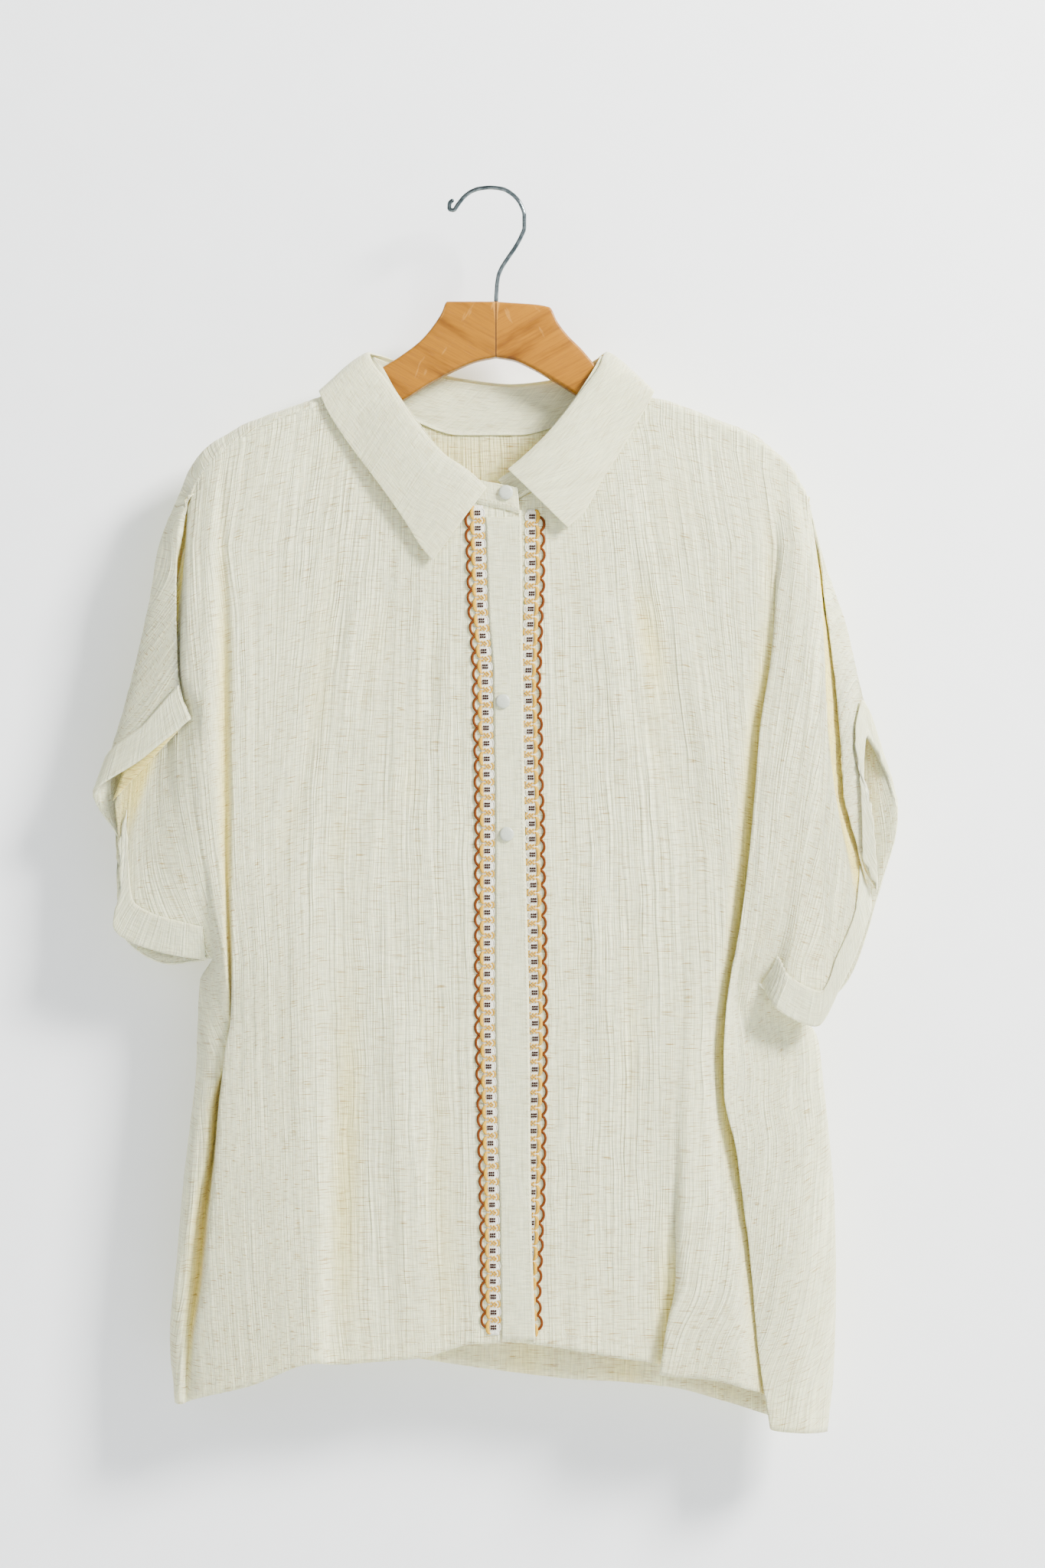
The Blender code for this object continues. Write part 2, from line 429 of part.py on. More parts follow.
class Rail:
    """A fold as a smooth line, read by a share of its length."""

    def __init__(self, fold):
        self.rows = ridge_rows(fold)
        self.stops = chord_stops(self.rows)
        self.over_ridge = len(self.rows) - len(fold.down) + 1

    def points_from_top(self, split, count, close):
        """Return points down to a share of the length.

        Close rows lie at the ridge and the last row but one at the height of a cuff.
        """
        near = list(self.stops[:self.over_ridge])
        if self.over_ridge > len(RIDGE_ROWS) + 1:
            near.append(self.stops[self.over_ridge])
        while len(near) < close:
            near.append(near[-1] + ROW_NEAR_RIDGE)
        end = split * self.stops[-1]
        far = np.linspace(near[-1], end - CUFF_WIDTH, count - close)[1:]
        return smooth_curve(self.stops, self.rows, np.concatenate((near, far, [end])))

    def points(self, start, end, count):
        """Return evenly spaced points between two shares of the length."""
        at = np.linspace(start, end, count) * self.stops[-1]
        return smooth_curve(self.stops, self.rows, at)

    def share_at(self, down):
        """Return the share of the length at which the fold reaches a distance down."""
        fine = self.points(0.0, 1.0, 600)
        last_above = np.nonzero(fine[:, 2] <= down)[0][-1]
        return last_above / 599.0


def across_rails(rows, shares, turns=(0.0, 0.0)):
    """Return a grid of points: each row runs smoothly through its rails' points.

    rows is (row, rail, 3). shares lists places along the row, in rails, such as 2.5.
    """
    grid = np.empty((rows.shape[0], len(shares), 3))
    for index, row in enumerate(rows):
        stops = chord_stops(row)
        whole = np.minimum(np.floor(shares).astype(int), len(stops) - 2)
        at = stops[whole] + (shares - whole) * (stops[whole + 1] - stops[whole])
        growth = min(1.0, index / ROWS_TO_TURN)
        grid[index] = smooth_curve(stops, row, at, turns[0] * growth, turns[1] * growth)
    return grid


def rail_places(count, steps):
    """Return places along the rails with so many steps from each rail to the next."""
    places = [index + step / steps[index] for index in range(count - 1) for step in range(steps[index])]
    return np.array(places + [count - 1.0])


class Panel:
    """A cloth panel: a grid from the shoulder to the underarm, and one from there to the hem.

    Folds that end on the cuff come before or after those that go on to the hem.
    """

    def __init__(self, name, folds, body_start, body_end, underarm, turns, steps, upper_rows, lower_rows):
        self.name = name
        self.turns = turns
        self.rails = [Rail(fold) for fold in folds]
        self.body = (body_start, body_end)
        self.underarm = underarm
        self.steps = steps
        self.row_counts = (upper_rows, lower_rows)
        self.close = max(rail.over_ridge for rail in self.rails) + 1
        self.splits = [rail.share_at(underarm) if body_start <= index <= body_end else 1.0
                       for index, rail in enumerate(self.rails)]

    def upper_grid(self, count, places):
        """Return the grid above the underarm."""
        rows = np.stack([rail.points_from_top(split, count, self.close)
                         for rail, split in zip(self.rails, self.splits)], axis=1)
        return across_rails(rows, places)

    def lower_grid(self, count, places):
        """Return the grid below the underarm; places are in rails of the whole panel."""
        start, end = self.body
        rows = np.stack([rail.points(split, 1.0, count) for rail, split
                         in zip(self.rails[start:end + 1], self.splits[start:end + 1])], axis=1)
        return across_rails(rows, places - start, self.turns)

    def places(self):
        """Return all the places across, and the mask of those that go on to the hem."""
        places = rail_places(len(self.rails), self.steps)
        turned = [self.body[0] + SEAM_SHARE] if self.turns[0] else []
        if self.turns[1]:
            turned.append(self.body[1] - SEAM_SHARE)
        places = np.sort(np.concatenate((places, turned)))
        keep = (places >= self.body[0] - 1e-6) & (places <= self.body[1] + 1e-6)
        return places, keep

    def faces(self):
        """Return points in millimetres and faces of the open panel.

        The side seam starts one column in from the underarm's corner, where the sleeve's end starts.
        """
        places, keep = self.places()
        upper = self.upper_grid(self.row_counts[0], places)
        lower = self.lower_grid(self.row_counts[1], places[keep])
        lower[0] = upper[-1][keep]
        points = np.concatenate((upper.reshape(-1, 3), lower[1:].reshape(-1, 3)))
        wide, narrow = len(places), int(keep.sum())
        top = np.arange(upper.shape[0] * wide).reshape(-1, wide)
        under = np.arange((lower.shape[0] - 1) * narrow).reshape(-1, narrow) + top.size
        under = np.vstack((top[-1][keep], under))
        corners = [int(under[0, end]) for end, turn in zip((0, -1), self.turns) if turn]
        lower_faces = [tuple(spot for spot in face if spot not in corners) for face in grid_faces(under)]
        return points, grid_faces(top) + lower_faces

    def depth_at(self, across, down):
        """Return the cloth's depth at a place, between the two rails that it lies between."""
        at = [rail.points(0.0, 1.0, 400) for rail in self.rails[self.body[0]:self.body[1] + 1]]
        spots = [(np.interp(down, line[:, 2], line[:, 0]), np.interp(down, line[:, 2], line[:, 1]))
                 for line in at]
        spots.sort()
        xs, ys = zip(*spots)
        return float(np.interp(across, xs, ys))


def grid_faces(index):
    """Return the quads of a grid of point numbers, as seen with rows down and columns to the right."""
    return [(int(index[r, c]), int(index[r + 1, c]), int(index[r + 1, c + 1]), int(index[r, c + 1]))
            for r in range(index.shape[0] - 1) for c in range(index.shape[1] - 1)]


def to_world(points):
    """Turn rows of (across, depth, down) millimetres into world metres."""
    points = np.asarray(points, dtype=float)
    return np.stack((points[:, 0], points[:, 1], -points[:, 2]), axis=1) * MM


def make_mesh_object(name, points, faces, material, collection):
    """Make a mesh object from rows of (across, depth, down) millimetres."""
    mesh = bpy.data.meshes.new(name)
    mesh.from_pydata(to_world(points).tolist(), [], faces)
    mesh.update()
    made = bpy.data.objects.new(name, mesh)
    made.data.materials.append(material)
    collection.objects.link(made)
    return made


def add_wall(made, thickness):
    """Give an open surface its wall, half on each side."""
    triangles = made.modifiers.new("Triangles", "TRIANGULATE")
    triangles.quad_method = "SHORTEST_DIAGONAL"
    wall = made.modifiers.new("Wall", "SOLIDIFY")
    wall.thickness = thickness * MM
    wall.offset = 0.0
    wall.use_even_offset = False
    wall.use_quality_normals = True
    made.data.shade_smooth()


def outward_normals(grid):
    """Return unit normals of a grid whose rows go down and whose columns go around to the right."""
    down = np.gradient(grid, axis=0)
    along = np.gradient(grid, axis=1)
    flip = np.array([1.0, 1.0, -1.0])
    normal = np.cross(down * flip, along * flip)
    normal /= np.maximum(np.linalg.norm(normal, axis=2, keepdims=True), 1e-9)
    return normal * flip


def lifted(grid, lift):
    """Return a grid moved outwards by a distance, farther where a column is a sharp fold."""
    sides = np.diff(grid, axis=1)
    sides /= np.maximum(np.linalg.norm(sides, axis=2, keepdims=True), 1e-9)
    before = np.concatenate((sides[:, :1], sides), axis=1)
    after = np.concatenate((sides, sides[:, -1:]), axis=1)
    flip = np.array([1.0, 1.0, -1.0])
    normal = np.cross(np.gradient(grid, axis=0) * flip, (before + after) * flip) * flip
    normal /= np.linalg.norm(normal, axis=2, keepdims=True)
    bend = np.sum(before * after, axis=2, keepdims=True)
    squeeze = np.sqrt(np.clip((1.0 + bend) / 2.0, 0.0, 1.0))
    return grid + normal * lift / np.maximum(squeeze, LEAST_SQUEEZE)


def make_cuff(name, panel, first, last, lift, material, collection):
    """Make the turned-up cuff over a panel's part of the sleeve's end, from one fold to another.

    The cuff takes the panel's own columns, so that it lies on them everywhere.
    """
    columns, _ = panel.places()
    whole = panel.upper_grid(panel.row_counts[0], columns)
    low, high = min(first, last), max(first, last)
    inside = columns[(columns > low) & (columns < high)]
    places = np.concatenate(([low], inside, [high]))
    if first > last:
        places = places[::-1]
    grid = np.empty((whole.shape[0], len(places), 3))
    for row in range(whole.shape[0]):
        for axis in range(3):
            grid[-1 - row, :, axis] = np.interp(places, columns, whole[row, :, axis])
    raised = lifted(grid[::-1], lift)[::-1]
    strip = np.empty((CUFF_ROWS, len(places), 3))
    for index in range(len(places)):
        stops = chord_stops(grid[:, index])
        at = CUFF_WIDTH * np.linspace(1.0, 0.0, CUFF_ROWS)
        for axis in range(3):
            strip[:, index, axis] = np.interp(at, stops, raised[:, index, axis])
    index = np.arange(strip.shape[0] * strip.shape[1]).reshape(strip.shape[:2])
    made = make_mesh_object(name, strip.reshape(-1, 3), grid_faces(index), material, collection)
    add_wall(made, CLOTH)


def make_panel(panel, material, collection):
    """Make one cloth panel with its wall."""
    points, faces = panel.faces()
    made = make_mesh_object(panel.name, points, faces, material, collection)
    add_wall(made, CLOTH)


def trim_point(line, side, across_share, along_share, top, repeat, panel):
    """Return one point of a trim: shares of its width outwards and of one repeat downwards."""
    down = top + (repeat + along_share) * TRIM_PITCH
    edge = float(np.interp(down, line.down, line.across))
    across = edge - side * TRIM_WIDTH * (1.0 - across_share)
    return across, panel.depth_at(across, down) - TRIM_LIFT, down


def make_trim(name, line, side, top, panel, material, collection):
    """Make a woven tape with a row of picot loops, each cut through, lying on a panel.

    side is -1 where the loops point to -X, +1 where they point to +X. Each repeat has a length of
    tape and a loop of three straight stretches of cord.
    """
    tape = TRIM_TAPE_WIDTH / TRIM_WIDTH
    cord = TRIM_CORD / TRIM_PITCH
    thick = TRIM_CORD / TRIM_WIDTH
    spots = {}
    points = []
    faces = []

    def spot(across_share, along_share, repeat):
        """Return the number of a point, made once."""
        key = (round(across_share, 4), round(along_share + repeat, 4))
        if key not in spots:
            spots[key] = len(points)
            points.append(trim_point(line, side, across_share, along_share, top, repeat, panel))
        return spots[key]

    for repeat in range(TRIM_REPEATS):
        inner = [spot(0.0, share, repeat) for share in (0.0, 1.0)]
        outer = [spot(tape, share, repeat) for share in (0.0, cord, 1.0 - cord, 1.0)]
        loop_outer = [spot(1.0, share, repeat) for share in (0.27, 0.73)]
        loop_inner = [spot(1.0 - thick, share, repeat) for share in (0.34, 0.66)]
        faces.append((inner[0], inner[1], outer[3], outer[2], outer[1], outer[0]))
        faces.append((outer[0], outer[1], loop_inner[0], loop_outer[0]))
        faces.append((loop_outer[0], loop_inner[0], loop_inner[1], loop_outer[1]))
        faces.append((loop_outer[1], loop_inner[1], outer[2], outer[3]))
    if side > 0:
        faces = [tuple(reversed(face)) for face in faces]
    made = make_mesh_object(name, points, faces, material, collection)
    add_wall(made, TRIM_CLOTH)
    made.data.shade_flat()


def make_button_band(panel, material, collection):
    """Make the band between the trim and the right front's free edge, on the front."""
    rows = []
    for down in np.linspace(*BAND_ENDS, BAND_ROWS):
        inner = float(np.interp(down, TRIM_RIGHT_LINE.down, TRIM_RIGHT_LINE.across)) + TRIM_WIDTH + 2.5 * GAP
        rail = panel.rails[-1].points(0.0, 1.0, 200)
        outer = float(np.interp(down, rail[:, 2], rail[:, 0])) - GAP
        for share in (0.0, 0.5, 1.0):
            across = inner + (outer - inner) * share
            rows.append((across, panel.depth_at(across, down) - TRIM_LIFT, down))
    index = np.arange(len(rows)).reshape(-1, 3)
    made = make_mesh_object("button_band", rows, grid_faces(index), material, collection)
    add_wall(made, TRIM_CLOTH)


def make_strip(name, stations, material, collection, thickness, bulge, between):
    """Make a band between two lines that run round the neck, with a soft bulge outwards."""
    upper = np.array([station[0] for station in stations], dtype=float)[:, (1, 2, 0)]
    lower = np.array([station[1] for station in stations], dtype=float)[:, (1, 2, 0)]
    shares = rail_places(len(stations), [2] * (len(stations) - 1))
    lines = []
    for edge in (upper, lower):
        stops = chord_stops(edge)
        whole = np.minimum(np.floor(shares).astype(int), len(stops) - 2)
        at = stops[whole] + (shares - whole) * (stops[whole + 1] - stops[whole])
        lines.append(smooth_curve(stops, edge, at))
    steps = np.linspace(0.0, 1.0, between)
    grid = np.stack([lines[0] * (1.0 - step) + lines[1] * step for step in steps])
    normal = outward_normals(grid)
    hump = np.sin(np.pi * steps ** 0.6)[:, None, None]
    grid = grid - normal * hump * bulge
    index = np.arange(grid.shape[0] * grid.shape[1]).reshape(grid.shape[:2])
    made = make_mesh_object(name, grid.reshape(-1, 3), grid_faces(index), material, collection)
    add_wall(made, thickness)


def make_button(button, right_front, left_front, material, collection):
    """Make a flat round button standing on the band, or on the left front under it."""
    if button.under:
        seat = left_front.depth_at(button.across, button.down) - CLOTH / 2.0 - GAP
    else:
        seat = right_front.depth_at(button.across, button.down) - TRIM_LIFT - TRIM_CLOTH / 2.0 - GAP
    if button.name == "button_collar":
        seat = COLLAR_STAND[0].upper[2] - COLLAR_CLOTH / 2.0 - GAP
    bpy.ops.mesh.primitive_cylinder_add(
        vertices=14, radius=BUTTON_RADIUS * MM, depth=BUTTON_THICKNESS * MM,
        location=(button.across * MM, (seat - BUTTON_THICKNESS / 2.0) * MM, -button.down * MM),
        rotation=(math.pi / 2.0, 0.0, 0.0))
    made = bpy.context.object
    made.name = button.name
    made.data.name = button.name
    edge = made.modifiers.new("Edge", "BEVEL")
    edge.width = BUTTON_EDGE * MM
    edge.segments = 1
    edge.limit_method = "ANGLE"
    made.data.materials.append(material)
    for old in list(made.users_collection):
        old.objects.unlink(made)
    collection.objects.link(made)


def make_label(panel, material, collection):
    """Make the blank care label on the inside of the left side strip."""
    places = np.linspace(*LABEL_FOLDS, 3)
    grid = panel.lower_grid(41, places)[slice(*LABEL_ROWS)]
    grid = grid - outward_normals(grid) * LABEL_SET_BACK
    index = np.arange(grid.shape[0] * grid.shape[1]).reshape(grid.shape[:2])
    made = make_mesh_object("care_label", grid.reshape(-1, 3), grid_faces(index), material, collection)
    add_wall(made, LABEL_CLOTH)


def make_hanger_half(name, outline, material, collection):
    """Make one half of the wooden hanger: a flat outline with rounded edges."""
    curve = bpy.data.curves.new(name, "CURVE")
    curve.dimensions = "2D"
    curve.fill_mode = "BOTH"
    curve.extrude = (WOOD_THICKNESS / 2.0 - WOOD_EDGE_ROUND) * MM
    curve.bevel_depth = WOOD_EDGE_ROUND * MM
    curve.bevel_resolution = 1
    curve.offset = -WOOD_EDGE_ROUND * MM
    curve.render_resolution_u = 0
    spline = curve.splines.new("POLY")
    spline.points.add(len(outline) - 1)
    for point, place in zip(spline.points, outline):
        point.co = (place.across * MM, -place.down * MM, 0.0, 1.0)
    spline.use_cyclic_u = True
    made = bpy.data.objects.new(name, curve)
    made.rotation_euler = (math.pi / 2.0, 0.0, 0.0)
    made.data.materials.append(material)
    collection.objects.link(made)


def make_hook(material, collection):
    """Make the wire hook, which ends on the wood's top edge."""
    rows = np.array([(place.across, 0.0, place.down) for place in HOOK_WIRE])
    stops = chord_stops(rows)
    fine = smooth_curve(stops, rows, np.linspace(0.0, stops[-1], 46))
    curve = bpy.data.curves.new("hanger_hook", "CURVE")
    curve.dimensions = "3D"
    curve.bevel_depth = WIRE_RADIUS * MM
    curve.bevel_resolution = 2
    curve.use_fill_caps = True
    curve.render_resolution_u = 0
    spline = curve.splines.new("POLY")
    spline.points.add(len(fine) - 1)
    for point, place in zip(spline.points, to_world(fine)):
        point.co = (*place, 1.0)
    made = bpy.data.objects.new("hanger_hook", curve)
    made.data.materials.append(material)
    collection.objects.link(made)


def main():
    """Build the shirt and its hanger."""
    clear_scene()
    shirt = new_collection("linen_shirt_on_hanger")
    linen = new_material("linen", LINEN)
    yarn = new_material("trim_yarn", TRIM_YARN)
    shell = new_material("button_shell", BUTTON_SHELL)
    satin = new_material("label_satin", LABEL_SATIN)
    wood = new_material("hanger_wood", WOOD)
    chrome = new_material("hook_chrome", CHROME)

    right_folds = FRONT_RIGHT_CUFF + FRONT_RIGHT_BODY
    right_front = Panel("front_right", right_folds, 4, 15, UNDERARM_RIGHT, (-1.0, 0.0),
                        (2, 2, 2, 3, 2, 1, 1, 1, 2, 2, 1, 1, 2, 2, 1), 15, 13)
    left_folds = FRONT_LEFT_BODY + FRONT_LEFT_CUFF
    left_front = Panel("front_left", left_folds, 0, 13, UNDERARM_LEFT, (0.0, 1.0),
                       (1, 2, 2, 1, 1, 1, 1, 1, 1, 1, 1, 1, 1, 2, 1, 1, 1, 2, 1), 16, 13)
    back_folds = BACK_RIGHT_CUFF + BACK_BODY + BACK_LEFT_CUFF
    back = Panel("back", back_folds, 7, 22, 0.5 * (UNDERARM_RIGHT + UNDERARM_LEFT),
                 (1.0, -1.0),
                 (2, 2, 2, 2, 1, 1, 3, 2, 1, 1, 1, 1, 1, 1, 1, 1, 1, 1, 1, 1, 1, 2, 3, 1, 1, 3, 2, 1, 1, 1),
                 17, 10)
    back.splits[7] = back.rails[7].share_at(UNDERARM_RIGHT)
    back.splits[21] = back.rails[21].share_at(UNDERARM_LEFT)
    back.splits[22] = back.rails[22].share_at(UNDERARM_LEFT)
    for panel in (right_front, left_front, back):
        make_panel(panel, linen, shirt)

    make_cuff("cuff_right_front", right_front, 0.5, 3.85, 1.7, linen, shirt)
    make_cuff("cuff_right_back", back, 6.8, 1.0, 2.6, linen, shirt)
    make_cuff("cuff_left_front", left_front, 13.2, 18.0, 1.7, linen, shirt)
    make_cuff("cuff_left_back", back, 29.0, 22.16, 3.3, linen, shirt)

    make_button_band(right_front, linen, shirt)
    make_trim("trim_right", TRIM_RIGHT_LINE, -1.0, TRIM_TOP_RIGHT, right_front, yarn, shirt)
    make_trim("trim_left", TRIM_LEFT_LINE, 1.0, TRIM_TOP_LEFT, left_front, yarn, shirt)
    make_strip("collar", COLLAR, linen, shirt, COLLAR_CLOTH, COLLAR_BULGE, 4)
    make_strip("collar_stand", COLLAR_STAND, linen, shirt, COLLAR_CLOTH, 0.0, 3)
    for button in BUTTONS:
        make_button(button, right_front, left_front, shell, shirt)
    make_label(left_front, satin, shirt)
    make_hanger_half("hanger_right", HANGER_RIGHT_OUTLINE, wood, shirt)
    make_hanger_half("hanger_left", HANGER_LEFT_OUTLINE, wood, shirt)
    make_hook(chrome, shirt)


main()
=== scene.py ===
"""Looks of a short-sleeved linen shirt that hangs from its wooden hanger.

Axes are the frame's: metres, +X to the right of someone who faces the shirt, +Y away from them, +Z up.
The origin is where the hook rests. Tables and working arrays are in millimetres, as (across, depth,
down), where "down" is the distance below the origin. Right and left are the wearer's.
"""

import logging
import math
from dataclasses import dataclass, field
from enum import Enum
from typing import ClassVar

import bpy
import numpy as np
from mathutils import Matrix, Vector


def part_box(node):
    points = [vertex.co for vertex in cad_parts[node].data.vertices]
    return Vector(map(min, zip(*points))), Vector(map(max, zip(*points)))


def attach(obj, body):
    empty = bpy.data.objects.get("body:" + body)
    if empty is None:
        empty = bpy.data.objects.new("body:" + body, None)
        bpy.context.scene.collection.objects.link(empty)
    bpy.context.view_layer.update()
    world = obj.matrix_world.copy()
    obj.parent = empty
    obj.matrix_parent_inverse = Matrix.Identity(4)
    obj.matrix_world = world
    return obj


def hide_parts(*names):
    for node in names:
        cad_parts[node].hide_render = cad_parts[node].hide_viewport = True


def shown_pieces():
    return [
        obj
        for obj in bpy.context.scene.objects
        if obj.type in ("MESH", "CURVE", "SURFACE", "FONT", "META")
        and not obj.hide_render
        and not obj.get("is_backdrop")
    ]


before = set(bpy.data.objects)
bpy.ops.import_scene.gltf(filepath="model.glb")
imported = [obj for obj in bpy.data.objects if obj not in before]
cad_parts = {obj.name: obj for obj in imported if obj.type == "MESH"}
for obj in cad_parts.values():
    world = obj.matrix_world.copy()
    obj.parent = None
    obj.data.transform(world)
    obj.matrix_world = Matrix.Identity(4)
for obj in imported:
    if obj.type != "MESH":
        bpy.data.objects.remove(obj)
LOG = logging.getLogger("shirt")

MM = 0.001
DOWN_FLIP = np.array([1.0, 1.0, -1.0])
BODY = "root"

# Rows where the cloth goes over the wood's ridge: drop below it and depth, on either side.
RIDGE_ROWS = ((1.2, 5.6), (4.2, 8.9), (12.0, 10.0))
# A fold crosses the ridge if a stop lies this near the wood's middle and the next one this far from it.
ON_RIDGE = 0.5
OFF_RIDGE = 10.5
ROW_NEAR_RIDGE = 6.0
# Rows below the underarm over which a free edge takes up its turn.
ROWS_TO_TURN = 3.0
CUFF_WIDTH = 25.0
UNDERARM_RIGHT = 559.0
UNDERARM_LEFT = 576.0


class Weave(Enum):
    """How strongly the gauze is crinkled on a piece, as a share of the loose cloth's crinkle."""

    CRINKLED = 1.0
    FUSED = 0.22
    TURNED = 0.5


@dataclass(frozen=True)
class Fold:
    """One fold of the cloth as a line from the shoulder to its end.

    Each table has one value a row: the distance down, the place across and the depth.
    """

    name: str
    down: tuple[float, ...]
    across: tuple[float, ...]
    depth: tuple[float, ...]


@dataclass(frozen=True)
class Crease:
    """A soft ridge, or with a negative height a trough, from one place on the flat cloth to another."""

    from_u: float
    from_v: float
    to_u: float
    to_v: float
    width: float
    height: float
    bow: float = 0.0


RIGHT_FRONT_CREASES = (
    Crease(-58.0, 262.0, -92.0, 470.0, 9.0, -1.3, 4.0), Crease(-118.0, 246.0, -150.0, 415.0, 11.0, 1.7, -5.0),
    Crease(-146.0, 300.0, -186.0, 515.0, 8.0, -1.8, 6.0), Crease(-38.0, 455.0, -46.0, 690.0, 7.0, 0.9),
    Crease(-101.0, 545.0, -90.0, 870.0, 13.0, 2.2, 5.0), Crease(-131.0, 600.0, -143.0, 880.0, 9.0, -1.8),
    Crease(-164.0, 500.0, -171.0, 735.0, 7.0, 1.3, 3.0), Crease(-68.0, 640.0, -57.0, 860.0, 11.0, -1.3, -4.0),
    Crease(-84.0, 380.0, -126.0, 505.0, 6.0, 0.9, 3.0))
LEFT_FRONT_CREASES = (
    Crease(72.0, 255.0, 98.0, 430.0, 10.0, 1.4, 5.0), Crease(118.0, 240.0, 140.0, 390.0, 9.0, -1.6, -4.0),
    Crease(150.0, 290.0, 178.0, 500.0, 10.0, 1.9, -5.0), Crease(52.0, 430.0, 60.0, 640.0, 8.0, -1.0),
    Crease(96.0, 500.0, 88.0, 720.0, 9.0, -1.5, 4.0), Crease(125.0, 590.0, 136.0, 885.0, 13.0, 2.4, 4.0),
    Crease(158.0, 560.0, 170.0, 870.0, 8.0, -1.9), Crease(64.0, 690.0, 52.0, 865.0, 11.0, 1.2, 3.0),
    Crease(104.0, 360.0, 138.0, 470.0, 6.0, -0.9, 3.0))
BACK_CREASES = (
    Crease(-42.0, 236.0, -62.0, 525.0, 12.0, -1.8, 6.0), Crease(28.0, 244.0, 56.0, 600.0, 10.0, 1.6, -5.0),
    Crease(-112.0, 262.0, -134.0, 610.0, 11.0, 2.0, 5.0), Crease(118.0, 256.0, 142.0, 640.0, 12.0, -2.0, -6.0),
    Crease(-80.0, 555.0, -97.0, 880.0, 13.0, 2.3, 5.0), Crease(76.0, 540.0, 68.0, 880.0, 12.0, -1.9, 4.0),
    Crease(4.0, 470.0, -8.0, 870.0, 9.0, 1.3), Crease(163.0, 515.0, 182.0, 880.0, 10.0, 1.6, 4.0),
    Crease(-168.0, 500.0, -182.0, 860.0, 9.0, -1.6, -4.0), Crease(84.0, 300.0, 96.0, 470.0, 7.0, 1.0))
# Right front, from the sleeve's seam to the free edge. The first folds end on the cuff.
FRONT_RIGHT_CUFF = (
    Fold("seam", (232.5, 250, 270, 320, 352, 400, 446),
         (-218.6, -219.8, -223.5, -234, -241, -257, -272), (-9.2, -7.6, -5.2, -3, -2.5, -3, -4.8)),
    Fold("hollow", (232, 250, 270, 320, 352, 400, 440, 470, 503),
         (-218.1, -218.9, -221, -226.5, -229, -238, -251, -260, -267),
         (-9.5, -8.8, -7.2, -4.6, -3.6, -4.4, -5.6, -7, -8)),
    Fold("flap edge", (230.5, 252, 296, 352, 384, 415, 445, 474, 505, 534),
         (-217.4, -217.8, -218, -217.3, -210.5, -218, -226, -238, -254, -272),
         (-10, -14, -19, -21, -21, -20, -17, -13, -10, -8)),
    Fold("flap inner", (222, 252, 296, 352, 384, 415, 445, 474, 505, 535, 553),
         (-214.4, -214, -213.7, -213, -208, -210, -212, -217, -225, -232, -236),
         (-10.5, -16, -20.5, -22.5, -23, -23.5, -22.5, -20, -17, -13, -9)),
)
FRONT_RIGHT_BODY = (
    Fold("underarm", (212, 252, 296, 352, 419, 474, 530, 559, 574, 644, 709, 774, 834, 880),
         (-210, -209, -208, -207, -205, -205, -204, -202, -210, -213.5, -221, -227, -232, -228.5),
         (-11, -17, -21, -23.5, -25, -23, -15, -6, -1, -0.45, -0.45, -0.45, -0.45, -0.45)),
    Fold("side strip", (202, 252, 325, 419, 500, 559, 600, 660, 742, 820, 881),
         (-204, -204.5, -204, -201.5, -198, -195, -198, -208, -219, -226, -226.5),
         (-11.5, -18, -23, -25, -23, -18, -13, -12, -10.5, -8, -6)),
    Fold("gap outer edge", (194.2, 252, 325, 419, 500, 559, 599, 630, 660, 700, 742, 791, 834, 881),
         (-196, -200, -199, -197.5, -194, -190.5, -188, -191, -202, -206, -214.5, -219.6, -223, -224),
         (-12, -18, -22, -24, -23, -21, -17, -15, -14, -13.5, -12.5, -10, -8.5, -7)),
    Fold("gap bottom", (191.2, 252, 325, 419, 500, 559, 599, 630, 660, 700, 742, 791, 834, 880),
         (-193, -193.5, -191.5, -190.5, -189.5, -187.5, -187, -190, -197, -201, -207, -212, -217.5, -220),
         (-11.8, -15.5, -17.5, -18.5, -17.5, -14, -8, -1, 2, 3, 3, 1, -3, -6)),
    Fold("gap inner edge", (187.4, 252, 325, 419, 500, 559, 599, 630, 662, 700, 742, 791, 834, 878),
         (-188, -187, -184, -184, -184.5, -184, -186, -191, -193.5, -196, -200, -204.3, -212, -216),
         (-12, -17.5, -21, -23, -23, -22.5, -20, -20, -21, -21, -20.5, -19, -14, -9)),
    Fold("outer panel", (173.2, 252, 441, 600, 742, 821, 865),
         (-165, -167, -166, -165, -168, -174, -172), (-11.5, -17.5, -21.5, -23.5, -24.5, -24, -22)),
    Fold("hem fold ridge", (163.5, 252, 441, 600, 742, 821, 848),
         (-141, -135, -130, -127, -124.5, -124, -124.5), (-10.5, -17, -21, -23.5, -26, -27.5, -27)),
    Fold("hem fold valley", (157, 252, 441, 600, 742, 821, 850),
         (-122, -115, -113, -112, -112, -113, -112), (-10, -16.5, -20, -21.5, -21.5, -21.5, -21)),
    Fold("neck point", (149, 200, 300, 441, 600, 742, 848),
         (-106, -98, -90, -86, -85, -85, -83), (-9.6, -14.5, -18.5, -20.5, -22, -22, -21)),
    Fold("chest", (192, 252, 441, 600, 742, 845),
         (-64, -58, -55, -54, -53, -50), (-18, -19.5, -21.5, -22.5, -22.5, -21.5)),
    Fold("trim side", (222, 300, 441, 600, 742, 835),
         (-25, -21, -17, -15, -13, -11), (-21.5, -22, -22.5, -23, -23, -22.5)),
    Fold("free edge", (236, 300, 441, 600, 742, 833.5),
         (23, 23.5, 25, 28.5, 30, 33), (-22.5, -22.8, -23.2, -23.7, -23.7, -23)),
)

